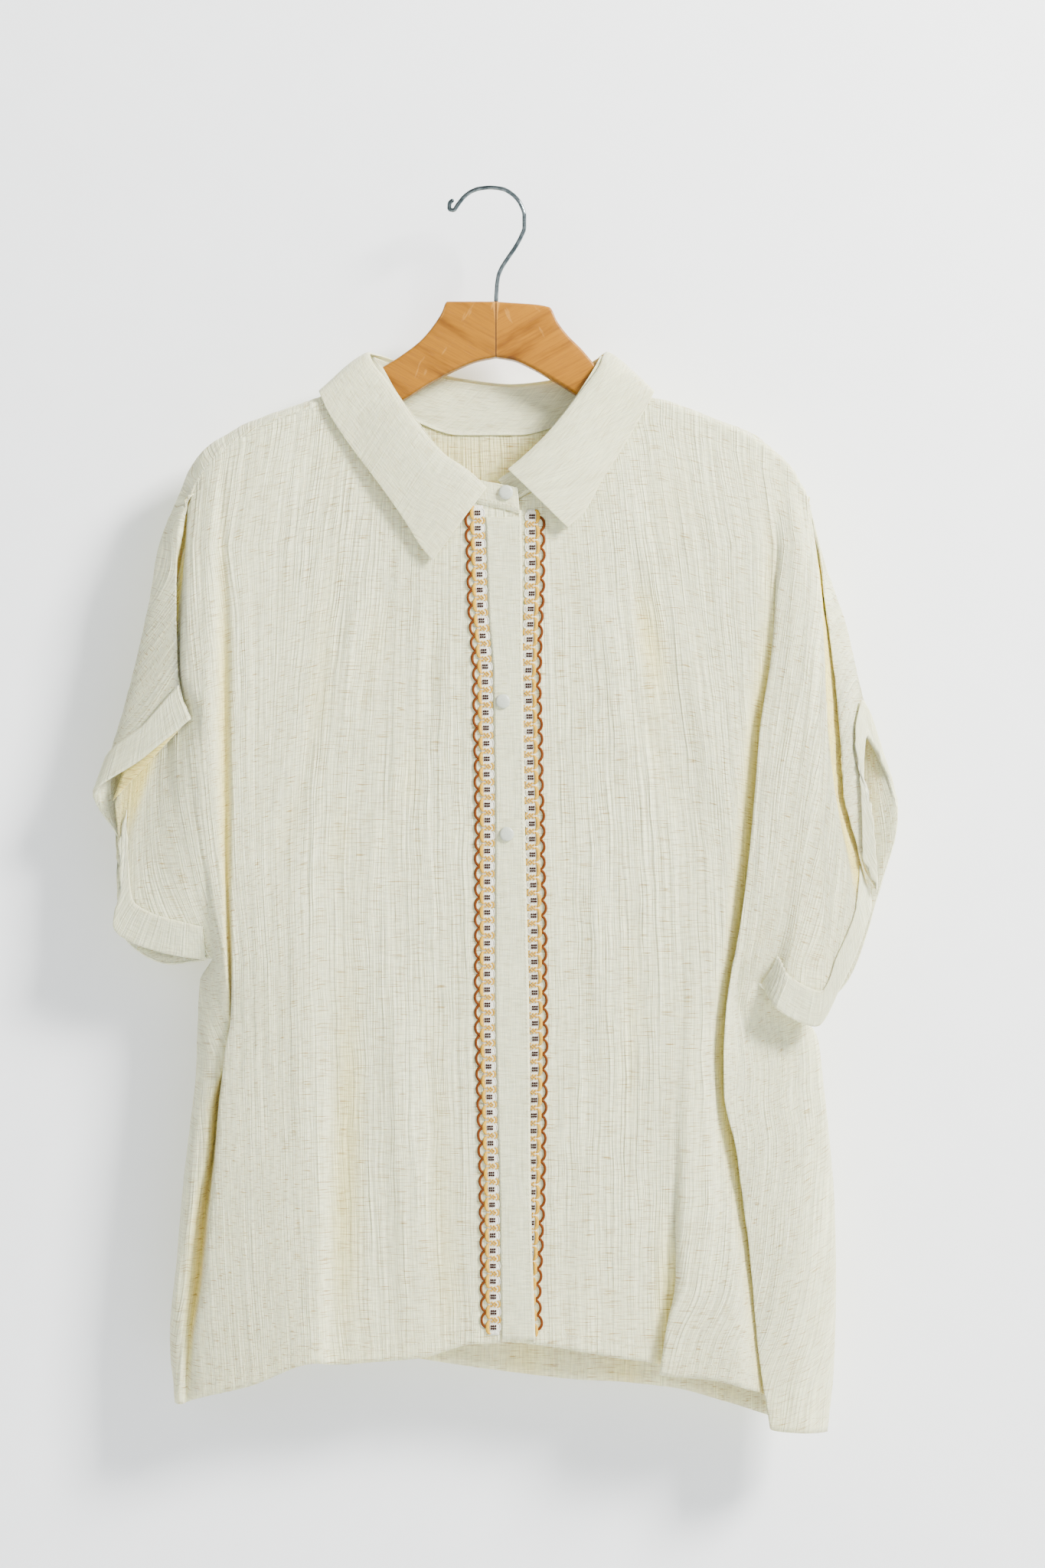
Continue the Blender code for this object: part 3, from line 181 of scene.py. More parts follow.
# Left front, from its free edge under the right front to the seam of the sleeve.
FRONT_LEFT_BODY = (
    Fold("free edge", (236, 300, 441, 600, 742, 833),
         (3, 3, 4, 7, 8, 10), (-18.5, -18.7, -19, -19.4, -19.4, -18.8)),
    Fold("trim side", (218, 300, 441, 600, 742, 808, 838),
         (38, 43, 45, 47, 46, 45, 50), (-18, -18.7, -19.4, -20, -20.3, -20.3, -20)),
    Fold("chest", (172, 252, 441, 600, 742, 808, 846),
         (80, 92, 98, 100, 98, 96, 95), (-14.5, -18.5, -20.5, -21.5, -21, -20, -19.5)),
    Fold("neck point", (148.5, 252, 441, 600, 742, 808, 848),
         (103, 108, 112, 113, 110, 110, 110), (-9.2, -18, -20.5, -21.5, -20.5, -19, -18)),
    Fold("flare outer", (152, 252, 441, 600, 742, 808, 851),
         (119, 122, 124, 124, 121, 124, 126), (-0.25, -17.5, -20.5, -21.5, -20, -17.5, -16)),
    Fold("flare valley", (160, 252, 441, 600, 700, 742, 788, 821, 853),
         (146, 142, 140, 137, 134, 134, 136, 136, 135),
         (-0.25, -17.5, -20.5, -21.5, -20, -18.5, -15.5, -13.5, -12)),
    Fold("flare edge", (166.5, 252, 441, 600, 700, 742, 788, 827, 856),
         (162, 155, 150, 145, 141, 139, 137, 127.5, 123),
         (-0.25, -17.5, -21, -22.5, -23, -23.5, -24, -26, -27)),
    Fold("flare", (173.5, 252, 441, 534, 630, 742, 821, 859),
         (180, 172, 161, 156, 152, 157, 156, 155), (-0.25, -18, -21.5, -22, -22.5, -25, -29, -29.5)),
    Fold("valley lip", (184.5, 252, 339, 441, 534, 591, 630, 673, 726, 765, 821, 865),
         (199.5, 192, 186, 176, 168, 161, 159, 162, 169, 174, 177, 180),
         (-0.25, -17.5, -20, -21.5, -21.5, -21, -20, -20, -21, -23, -27, -28)),
    Fold("valley", (192.5, 252, 300, 339, 396, 441, 530, 591, 630, 673, 726, 765, 821, 877),
         (209, 206, 206, 204, 197, 194, 184.5, 175, 172, 176, 186, 191, 197, 201),
         (-0.25, -16, -17, -16.5, -14, -12, -8.5, -6.5, -6, -5, -5, -6, -8, -10)),
    Fold("strip edge", (197, 263, 300, 339, 396, 441, 530, 574, 600, 630, 654, 696, 726, 765, 846, 897),
         (214, 212, 207, 203, 194.6, 191, 181, 173, 170, 168.5, 169, 178, 182, 187, 194.5, 203),
         (-0.25, -20, -22, -23, -25, -25.5, -26, -25, -24, -23, -21.5, -21, -20, -20, -20, -19)),
    Fold("strip", (204, 252, 300, 396, 485, 534, 576, 600, 640, 700, 780, 850, 900),
         (220, 217, 215, 210, 204, 195, 178, 183, 192, 205, 214, 218, 224),
         (-0.25, -20, -23.5, -26, -27, -25.5, -20, -13, -14, -17, -19, -19, -18)),
    Fold("strip outer", (209, 252, 300, 396, 485, 534, 560, 576, 600, 615, 650, 700, 780, 850, 901),
         (223, 221, 220, 216, 212, 203, 193, 183, 199, 210.5, 220, 230, 237, 239, 238),
         (-0.25, -20, -24, -26.5, -27, -26, -24, -19.5, -12, -10, -10.5, -12, -13, -12.5, -11)),
    Fold("underarm", (213, 252, 300, 396, 485, 534, 560, 576, 588, 600, 615, 650, 687, 733, 788, 853, 902),
         (225, 225, 225, 222, 218, 212, 203, 194.6, 209, 225, 237, 242, 246, 249.5, 251, 249.5, 244.5),
         (-0.25, -19, -24, -26.5, -27.5, -27, -23, -15.5, -11, -7, -2.2, -0.45, -0.45, -0.45, -0.45,
          -0.45, -0.45)),
)
FRONT_LEFT_CUFF = (
    Fold("lower cuff inner", (218, 252, 300, 396, 485, 540, 575, 593),
         (228, 228.5, 230, 229, 226, 221, 213, 207), (-0.25, -17, -23, -26.5, -28, -29, -30, -30.5)),
    Fold("lower cuff corner", (220.5, 252, 300, 396, 485, 540, 580, 605),
         (228.8, 230.5, 233.5, 234.5, 235, 237, 237, 234), (-0.5, -15, -22, -26, -28, -28.5, -28.5, -27)),
    Fold("lower cuff", (223.5, 252, 300, 396, 485, 540, 580),
         (229.9, 232, 236.5, 239, 243, 248, 250), (-1.1, -13, -20.5, -24.5, -27, -27, -25)),
    Fold("cuff front", (227, 252, 300, 396, 452, 500, 546),
         (230.9, 233.5, 238.5, 242.5, 250, 259, 266), (-2.6, -11, -19, -22.5, -24, -23.5, -21)),
    Fold("gap inner edge", (231.5, 260, 281, 300, 339, 396, 441, 463, 485, 514),
         (231.6, 235, 237.2, 238.8, 241.3, 244, 247.2, 254, 263, 274.5),
         (-4, -11, -14.4, -17, -19, -20, -20, -19.5, -18, -14.5)),
    Fold("seam", (236, 247, 260, 281, 300, 339, 396, 441, 463, 480, 498),
         (232.4, 233.9, 235.4, 238.8, 241.6, 250.2, 257.5, 261, 263.5, 266, 270),
         (-4.9, -6.6, -7.2, -6.4, -5.2, -3.2, -4, -5.4, -6.6, -7.4, -9)),
)

# Back, from the seam in the right sleeve's fold, over the sleeve's top and across to the left one.
BACK_RIGHT_CUFF = (
    Fold("seam", (231.5, 240, 250, 270, 320, 352, 400, 444),
         (-219.6, -220.6, -222, -226.4, -235, -241.8, -257.8, -273),
         (-10.6, -11.3, -11, -7.4, -5.2, -4.9, -5.6, -7.2)),
    Fold("gap outer edge", (227, 238, 250, 270, 300, 352, 366, 384),
         (-218.2, -222.2, -224.6, -226.4, -226.8, -225.2, -223, -215.5),
         (-10.8, -11.6, -12.4, -13.8, -14, -14.5, -16, -20)),
    Fold("sleeve face", (222, 238, 250, 275, 300, 352, 385, 412),
         (-215.8, -225, -229, -233.5, -236, -243, -247, -250),
         (-10.6, -10.2, -10.2, -10.4, -10.8, -12, -13, -14)),
    Fold("sleeve top", (217, 226, 245, 265, 287, 361, 413, 441),
         (-214.4, -224, -235, -241.5, -245, -261, -276, -286), (-10.4, -4, -2, -1, -1, -1, -1.5, -3)),
    Fold("sleeve back", (211, 206, 222, 265, 330, 400, 440, 475),
         (-210.8, -219, -222, -236, -248, -262, -272, -270), (-10.8, -1, 7, 8, 8, 8, 8, 7)),
    Fold("sleeve back lower", (199, 190, 265, 350, 440, 500, 534),
         (-203, -208, -222, -232, -246, -262, -270), (-11.2, 0, 11, 12, 13, 12, 8)),
    Fold("underarm back", (189.5, 180, 265, 350, 440, 520, 562),
         (-194, -194, -205, -212, -218, -228, -234), (-12, 0, 12.5, 14, 15, 13, 8)),
)
BACK_BODY = (
    Fold("right side", (179.5, 171, 265, 350, 440, 520, 559, 574, 644, 709, 774, 834, 880),
         (-180, -178, -192, -196, -200, -203, -202.5, -210, -213.5, -221, -227, -232, -228.5),
         (-11.8, 0, 13, 15, 16, 12, 2.5, 1, 0.45, 0.45, 0.45, 0.45, 0.45)),
    Fold("right soft fold", (168, 161, 265, 440, 559, 660, 760, 874),
         (-158, -152, -165, -175, -178, -182, -190, -196), (-11.2, 0, 14.5, 18.5, 18.5, 17, 15, 13)),
    Fold("right hem fold", (155, 150.8, 265, 440, 600, 760, 851),
         (-122.5, -122.5, -130, -135, -138, -138, -137), (-9.6, 0, 15, 17, 17, 19, 19)),
    Fold("right neck point", (147.4, 144.6, 265, 440, 600, 760, 849),
         (-107, -107, -97, -95, -95, -95, -95), (-9.4, 0, 15.5, 17.5, 18, 16, 16)),
    Fold("right neck ridge", (143.8, 265, 440, 600, 760, 848),
         (-102.5, -90, -88, -88, -88, -88), (0, 15.7, 17.5, 18, 16.4, 16.4)),
    Fold("right neck back", (151, 265, 440, 600, 760, 848),
         (-97, -83, -81, -81, -81, -81), (11, 15.9, 17.6, 18, 16.8, 16.8)),
    Fold("right centre", (165.8, 265, 440, 600, 760, 852),
         (-61, -60, -58, -58, -58, -58), (13.5, 16.5, 18, 18, 18.5, 18.5)),
    Fold("centre right", (176.8, 265, 440, 600, 760, 858),
         (-22, -20, -18, -18, -18, -18), (14.5, 17, 17.5, 18, 17, 17)),
    Fold("centre left", (176.8, 265, 440, 600, 760, 864),
         (24, 24, 24, 24, 24, 24), (14.5, 17, 18.2, 18.4, 19, 19)),
    Fold("left centre", (166, 265, 440, 600, 760, 868),
         (60, 60, 62, 62, 62, 62), (13.5, 16.5, 17.5, 17.5, 17, 17)),
    Fold("left neck back", (152, 265, 440, 600, 760, 870),
         (95, 88, 90, 92, 94, 96), (11, 15.8, 17.9, 18.2, 18.2, 18.8)),
    Fold("left neck point", (145.2, 265, 440, 600, 760, 871),
         (102.5, 98, 100, 102, 104, 106), (0.25, 15.5, 18, 18.5, 18.5, 19)),
    Fold("left hem fold", (152, 265, 440, 600, 760, 873),
         (119, 126, 130, 132, 133, 131), (0.25, 15, 16.5, 16.5, 15, 14)),
    Fold("left soft fold", (167, 265, 440, 600, 760, 884),
         (163, 166, 168, 172, 174, 173), (0.25, 14.5, 18.5, 18.5, 17, 15)),
    Fold("left side", (181, 265, 440, 540, 576, 600, 700, 800, 896),
         (196, 198, 200, 196, 190, 206, 218, 220, 214),
         (0.25, 12.5, 16, 14, 8, 9, 13, 13.5, 11)),
    Fold("left underarm", (184, 265, 350, 440, 520, 560, 576, 588, 600, 615, 650, 687, 733, 788, 853, 902),
         (199, 203, 206, 207, 206, 200, 193.5, 206, 225, 237, 242, 246, 249.5, 251, 249.5, 244.5),
         (0.25, 12.5, 15, 16, 14, 9, 4, 4, 2.5, 0.45, 0.45, 0.45, 0.45, 0.45, 0.45, 0.45)),
)
BACK_LEFT_CUFF = (
    Fold("underarm back", (197, 300, 400, 500, 550, 585),
         (214, 228, 238, 246, 251, 247), (0.25, 12, 14, 13, 11, 9)),
    Fold("sleeve back lower", (212, 225, 300, 400, 460, 502),
         (224.5, 228, 241, 257, 273, 285), (0.25, 7.6, 9, 10, 9, 7)),
    Fold("sleeve back", (219, 240, 300, 380, 420, 455),
         (228.4, 234, 248.4, 265, 279, 296), (0.25, 5, 5, 5, 4, 4)),
    Fold("sleeve top", (224, 262, 291, 319, 349, 385, 396),
         (230.2, 239.6, 249.6, 259, 265, 269.5, 271), (0.25, -0.8, -1, -1, -1.5, -3, -4.5)),
    Fold("sleeve face", (227.5, 262, 281, 300, 339, 372, 400, 424),
         (231.2, 239.6, 244, 248, 255.8, 259.4, 261.8, 268), (-0.5, -2.4, -3.8, -6, -9.4, -11.6, -13.4, -15)),
    Fold("sleeve face front", (230, 253, 265, 295, 339, 380, 420, 462),
         (232, 237.4, 239.9, 244.3, 251.2, 255, 261, 276), (-1.3, -3.2, -4.4, -8.6, -12.8, -15, -16.6, -17)),
    Fold("gap outer edge", (232.5, 241, 253, 265, 295, 339, 363, 408, 441, 463, 485, 507),
         (232.6, 234.4, 236.9, 239.3, 241.8, 247.4, 250, 253.5, 255.5, 261, 268, 278),
         (-2.1, -3.3, -5, -6.8, -11.4, -14.6, -15.4, -17, -18.6, -19.4, -19.8, -19.8)),
    Fold("seam", (235, 241, 247, 253, 259, 265, 295, 339, 396, 441, 463, 480, 495),
         (232.8, 233.9, 234.7, 235.6, 237, 238.1, 243.2, 251.8, 258.6, 262, 264.8, 267.6, 272),
         (-2.9, -4.2, -5, -4.9, -5, -5.2, -6.8, -5, -5.8, -7.4, -8.8, -10, -12)),
)


def spots(rows: np.ndarray) -> np.ndarray:
    """Return the distance along a run of points at each of them."""
    lengths = np.linalg.norm(np.diff(rows, axis=0), axis=1)
    return np.concatenate(([0.0], np.cumsum(np.maximum(lengths, 0.01))))


def smooth_curve(stops: np.ndarray, values: np.ndarray, at: np.ndarray,
                 turn_start: float = 0.0, turn_end: float = 0.0) -> np.ndarray:
    """Run a smooth line through its stops.

    Formula: a cubic Hermite curve in each span, whose tangents are the weighted harmonic mean of the
    slopes on both sides, or nought where they differ in sign, so that it never overshoots.

    Args:
        stops: rising places of the values along the line.
        values: one row of coordinates a stop.
        at: places asked for.
        turn_start: share, with its sign, by which the line leaves its start along the depth.
        turn_end: the same for its end.

    Returns:
        One row of coordinates for each place asked for.
    """
    steps = np.diff(stops)
    slopes = np.diff(values, axis=0) / steps[:, None]
    tangents = np.zeros_like(values)
    before, after = slopes[:-1], slopes[1:]
    w_before = (2.0 * steps[1:] + steps[:-1])[:, None]
    w_after = (steps[1:] + 2.0 * steps[:-1])[:, None]
    same_way = before * after > 0.0
    mean = (w_before + w_after) / (w_before / np.where(same_way, before, 1.0)
                                   + w_after / np.where(same_way, after, 1.0))
    tangents[1:-1] = np.where(same_way, mean, 0.0)
    tangents[0], tangents[-1] = slopes[0], slopes[-1]
    for end, turn in ((0, turn_start), (-1, turn_end)):
        if turn:
            tangents[end][:2] = slopes[end][:2] * (1.0 - abs(turn))
            tangents[end][1] += turn
    cell = np.clip(np.searchsorted(stops, at, side="right") - 1, 0, len(stops) - 2)
    width = steps[cell][:, None]
    t = ((at - stops[cell])[:, None]) / width
    return ((1.0 + 2.0 * t) * (1.0 - t) ** 2 * values[cell] + t * (1.0 - t) ** 2 * width * tangents[cell]
            + t * t * (3.0 - 2.0 * t) * values[cell + 1] + t * t * (t - 1.0) * width * tangents[cell + 1])


def along(stops: np.ndarray, shares: np.ndarray) -> np.ndarray:
    """Turn places such as 2.5, halfway between stops 2 and 3, into distances along a line."""
    return np.interp(shares, np.arange(len(stops)), stops)


def between(at: np.ndarray | float, stops: np.ndarray, rows: np.ndarray) -> np.ndarray:
    """Return coordinates at places along a run of points, straight from each to the next."""
    return np.stack([np.interp(at, stops, column) for column in rows.T], axis=-1)


def soft_noise(u: np.ndarray, v: np.ndarray, seed: float) -> np.ndarray:
    """Return smooth noise from 0 to 1 over a plane.

    Formula: a number at each whole place is the fraction of a large sine of it; between places the
    four around a point are blended by a smooth step each way.
    """
    i, j = np.floor(u), np.floor(v)
    fu, fv = u - i, v - j
    fu, fv = fu * fu * (3.0 - 2.0 * fu), fv * fv * (3.0 - 2.0 * fv)

    def corner(a: np.ndarray, b: np.ndarray) -> np.ndarray:
        """Return the number at whole places."""
        big = np.sin(a * 127.1 + b * 311.7 + seed * 74.7) * 43758.5453
        return big - np.floor(big)

    low = corner(i, j) * (1.0 - fu) + corner(i + 1.0, j) * fu
    high = corner(i, j + 1.0) * (1.0 - fu) + corner(i + 1.0, j + 1.0) * fu
    return low * (1.0 - fv) + high * fv


def normals(grid: np.ndarray) -> np.ndarray:
    """Return unit normals of a grid: its step down crossed with its step along."""
    normal = np.cross(np.gradient(grid, axis=0) * DOWN_FLIP, np.gradient(grid, axis=1) * DOWN_FLIP)
    normal /= np.maximum(np.linalg.norm(normal, axis=2, keepdims=True), 1e-9)
    return normal * DOWN_FLIP


def measured(grid: np.ndarray) -> tuple[np.ndarray, np.ndarray]:
    """Return the distance along each row and down each column of a grid, in millimetres."""
    across = np.linalg.norm(np.diff(grid, axis=1), axis=2)
    down = np.linalg.norm(np.diff(grid, axis=0), axis=2)
    u = np.concatenate((np.zeros((grid.shape[0], 1)), np.cumsum(across, axis=1)), axis=1)
    v = np.concatenate((np.zeros((1, grid.shape[1])), np.cumsum(down, axis=0)), axis=0)
    return u, v


def numbered(grid: np.ndarray) -> np.ndarray:
    """Return the number of each point of a grid, in its rows and columns."""
    return np.arange(grid[..., 0].size).reshape(grid.shape[:-1])


def quads(index: np.ndarray) -> np.ndarray:
    """Return the faces of a grid of point numbers, each going down, along, up and back."""
    return np.stack((index[:-1, :-1], index[1:, :-1], index[1:, 1:], index[:-1, 1:]), axis=2).reshape(-1, 4)


def around(index: np.ndarray) -> list:
    """Return the faces between closed rings of point numbers, which lie along the last axis."""
    after = np.roll(index, -1, axis=-1)
    return np.stack((index[..., :-1, :], after[..., :-1, :], after[..., 1:, :], index[..., 1:, :]),
                    axis=-1).reshape(-1, 4).tolist()


def new_piece(name: str, points: np.ndarray, faces: list | np.ndarray, material: bpy.types.Material,
              place: np.ndarray | None = None,
              hollow: np.ndarray | None = None) -> bpy.types.Object:
    """Make a piece that rides on the body.

    Args:
        name: the piece's name.
        points: rows of (across, depth, down) in millimetres.
        faces: point numbers, a row a face.
        material: its finish.
        place: each point's place in the flat cloth, in millimetres, kept as the map "cloth".
        hollow: each point's share of a fold's depth, from 0 to 1, kept as the attribute "hollow".

    Returns:
        The piece.
    """
    mesh = bpy.data.meshes.new(name)
    world = points.reshape(-1, 3) * DOWN_FLIP * MM
    mesh.from_pydata(world.tolist(), [], faces if isinstance(faces, list) else faces.tolist())
    mesh.update()
    if place is not None:
        corners = np.empty(len(mesh.loops), dtype=np.int32)
        mesh.loops.foreach_get("vertex_index", corners)
        layer = mesh.uv_layers.new(name="cloth")
        layer.data.foreach_set("uv", place.reshape(-1, 2)[corners].astype(np.float32).ravel())
    if hollow is not None:
        shade = mesh.attributes.new("hollow", "FLOAT", "POINT")
        shade.data.foreach_set("value", hollow.astype(np.float32).ravel())
    mesh.polygons.foreach_set("use_smooth", np.full(len(mesh.polygons), True))
    mesh.materials.append(material)
    made = bpy.data.objects.new(name, mesh)
    bpy.context.scene.collection.objects.link(made)
    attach(made, BODY)
    return made


def grid_piece(name: str, node: str, grid: np.ndarray, material: bpy.types.Material, wall: float,
               place: tuple[np.ndarray, np.ndarray] | None = None) -> bpy.types.Object:
    """Make a piece from a grid of points, with a wall, in place of a CAD node.

    Args:
        name: the piece's name.
        node: the CAD node that it replaces.
        grid: its points.
        material: its finish.
        wall: its thickness in millimetres.
        place: the points' places on the flat cloth, where they differ from those measured on the grid.

    Returns:
        The piece.
    """
    flat = np.stack(measured(grid) if place is None else place, axis=2)
    made = new_piece(name, grid, quads(numbered(grid)), material, flat)
    add_wall(made, wall)
    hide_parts(node)
    return made


def closed_piece(name: str, points: np.ndarray, faces: list, material: bpy.types.Material,
                 slot: str) -> bpy.types.Object:
    """Make a piece from a closed surface and turn its faces outwards."""
    made = new_piece(name, points, faces, material)
    mesh = made.data
    mesh.calc_loop_triangles()
    corners = np.empty(len(mesh.loop_triangles) * 3, dtype=np.int32)
    mesh.loop_triangles.foreach_get("vertices", corners)
    places = np.empty(len(mesh.vertices) * 3)
    mesh.vertices.foreach_get("co", places)
    a, b, c = places.reshape(-1, 3)[corners].reshape(-1, 3, 3).swapaxes(0, 1)
    if float(np.einsum("ij,ij->i", a, np.cross(b, c)).sum()) < 0.0:
        mesh.flip_normals()
    return made


def add_wall(made: bpy.types.Object, thickness: float) -> None:
    """Give an open surface its wall, half on each side, in millimetres."""
    wall = made.modifiers.new("Wall", "SOLIDIFY")
    wall.thickness = thickness * MM
    wall.offset = 0.0
    wall.use_even_offset = False
    wall.use_quality_normals = True


@dataclass
class Rail:
    """A fold as a smooth line, with close rows where it goes over the wood."""

    fold: Fold
    rows: np.ndarray = field(init=False)
    stops: np.ndarray = field(init=False)
    over_ridge: int = field(init=False)

    def __post_init__(self) -> None:
        """Work out the rows, with the ridge's rows put in."""
        rows = [(x, y, d) for d, x, y in zip(self.fold.down, self.fold.across, self.fold.depth)]
        top = 1 if rows[1][2] < rows[0][2] else 0
        ridge, after = rows[top], rows[top + 1]
        if abs(ridge[1]) <= ON_RIDGE and abs(after[1]) >= OFF_RIDGE:
            side = math.copysign(1.0, after[1])
            slope = (after[0] - ridge[0]) / (after[2] - ridge[2])
            extra = [(ridge[0] + slope * drop, ridge[1] + side * depth, ridge[2] + drop)
                     for drop, depth in RIDGE_ROWS]
            drop, depth = RIDGE_ROWS[0]
            before = [(ridge[0], ridge[1] - side * depth, ridge[2] + drop)] if top else []
            rows = rows[:top] + before + [ridge] + extra + rows[top + 1:]
        self.rows = np.array(rows, dtype=float)
        self.stops = spots(self.rows)
        self.over_ridge = len(self.rows) - len(self.fold.down) + 1

    def points(self, shares: np.ndarray) -> np.ndarray:
        """Return the points at shares of the length."""
        return smooth_curve(self.stops, self.rows, shares * self.stops[-1])

    def points_from_top(self, split: float, count: int, close: int, finer: int) -> np.ndarray:
        """Return points down to a share of the length.

        Args:
            split: the share of the length at which they end.
            count: rows of the plain cut.
            close: how many of those lie close together at the ridge.
            finer: steps made of each row.
        """
        near = list(self.stops[:self.over_ridge])
        if self.over_ridge > len(RIDGE_ROWS) + 1:
            near.append(self.stops[self.over_ridge])
        while len(near) < close:
            near.append(near[-1] + ROW_NEAR_RIDGE)
        end = split * self.stops[-1]
        far = np.linspace(near[-1], end - CUFF_WIDTH, count - close)[1:]
        at = np.concatenate((near, far, [end]))
        return smooth_curve(self.stops, self.rows, along(at, finer_places(count, finer)))

    def share_at(self, down: float) -> float:
        """Return the share of the length at which the fold reaches a distance down."""
        shares = np.linspace(0.0, 1.0, 600)
        return float(shares[np.nonzero(self.points(shares)[:, 2] <= down)[0][-1]])


def finer_places(count: int, finer: int) -> np.ndarray:
    """Return places from 0 to the last of a count of rows, so many to each row."""
    return np.linspace(0.0, count - 1.0, (count - 1) * finer + 1)


@dataclass
class Panel:
    """A cloth panel, cut from the shoulder to the hem with its half of the sleeve.

    Folds that end on the cuff come before or after those that go on to the hem.
    """

    name: str
    folds: tuple[Fold, ...]
    body: tuple[int, int]
    underarm: float
    turns: tuple[float, float]
    row_counts: tuple[int, int]
    centre: float
    seed: float
    outward: float
    column_pitch: float = 1.9
    finer_rows: tuple[int, int] = (8, 6)
    creases: tuple[Crease, ...] = ()
    calm: float = 0.0
    # The distance down at which the threads of every column are level.
    LEVEL: ClassVar = 330.0
    splits: list[float] = field(init=False)
    rails: list[Rail] = field(init=False)

    def __post_init__(self) -> None:
        """Work out the rails and where each passes the underarm."""
        self.rails = [Rail(fold) for fold in self.folds]
        self.splits = [rail.share_at(self.underarm) if self.body[0] <= index <= self.body[1] else 1.0
                       for index, rail in enumerate(self.rails)]

    def places(self) -> np.ndarray:
        """Return the columns' places, counted in folds, about a pitch apart on the cloth."""
        middle = np.stack([rail.points(np.linspace(0.1, 0.95, 9)) for rail in self.rails])
        apart = np.linalg.norm(np.diff(middle, axis=0), axis=2).mean(axis=1)
        steps = np.maximum(np.ceil(apart / self.column_pitch), 3).astype(int)
        return np.concatenate([k + np.arange(n) / n for k, n in enumerate(steps)] + [[len(self.rails) - 1.0]])

    def across(self, rows: np.ndarray, shares: np.ndarray, growth: np.ndarray | None = None) -> np.ndarray:
        """Run each row of rail points smoothly through them, at the shares asked for."""
        grid = np.empty((rows.shape[0], len(shares), 3))
        for index, row in enumerate(rows):
            stops = spots(row)
            share = 0.0 if growth is None else growth[index]
            grid[index] = smooth_curve(stops, row, along(stops, shares),
                                       self.turns[0] * share, self.turns[1] * share)
        return grid

    def upper(self, places: np.ndarray) -> np.ndarray:
        """Return the grid from the shoulder to the underarm and the sleeve's end."""
        close = max(rail.over_ridge for rail in self.rails) + 1
        rows = np.stack([rail.points_from_top(split, self.row_counts[0], close, self.finer_rows[0])
                         for rail, split in zip(self.rails, self.splits)], axis=1)
        return self.across(rows, places)

    def lower(self, places: np.ndarray, rows_down: np.ndarray | None = None) -> np.ndarray:
        """Return the grid from the underarm to the hem."""
        start, end = self.body
        # The back's inside at the throat takes the painted warm shade too: half its width, how far down it goes,
        # and its share.
        count = self.row_counts[1]
        shares = finer_places(count, self.finer_rows[1]) / (count - 1.0) if rows_down is None else rows_down
        rows = np.stack([rail.points(split + (1.0 - split) * shares) for rail, split
                         in zip(self.rails[start:end + 1], self.splits[start:end + 1])], axis=1)
        growth = np.minimum(1.0, shares * (count - 1.0) / ROWS_TO_TURN)
        return self.across(rows, places - start, growth)

    def whole(self) -> "PanelGrids":
        """Return both grids with their places on the flat cloth, creased and hemmed."""
        places = self.places()
        keep = (places >= self.body[0] - 1e-6) & (places <= self.body[1] + 1e-6)
        upper = self.upper(places)
        lower = self.lower(places[keep])
        lower[0] = upper[-1][keep]
        u_up, v_up = measured(upper)
        middle = int(np.argmin(np.abs(places - self.centre)))
        u_up -= u_up[:, middle:middle + 1]
        u_low, v_low = measured(lower)
        kept_middle = int(np.argmin(np.abs(places[keep] - self.centre)))
        u_low -= u_low[:, kept_middle:kept_middle + 1]
        v_low += v_up[-1][keep][None, :]
        level = np.array([np.interp(self.LEVEL, np.maximum.accumulate(upper[:, k, 2]), v_up[:, k])
                          for k in range(upper.shape[1])])
        v_up += self.LEVEL - level[None, :]
        v_low += self.LEVEL - level[keep][None, :]
        made = PanelGrids(places, keep, upper, lower, (u_up, v_up), (u_low, v_low))
        made.crease(self.seed, self.outward, self.creases, self.calm)
        made.tuck(self.outward)
        return made


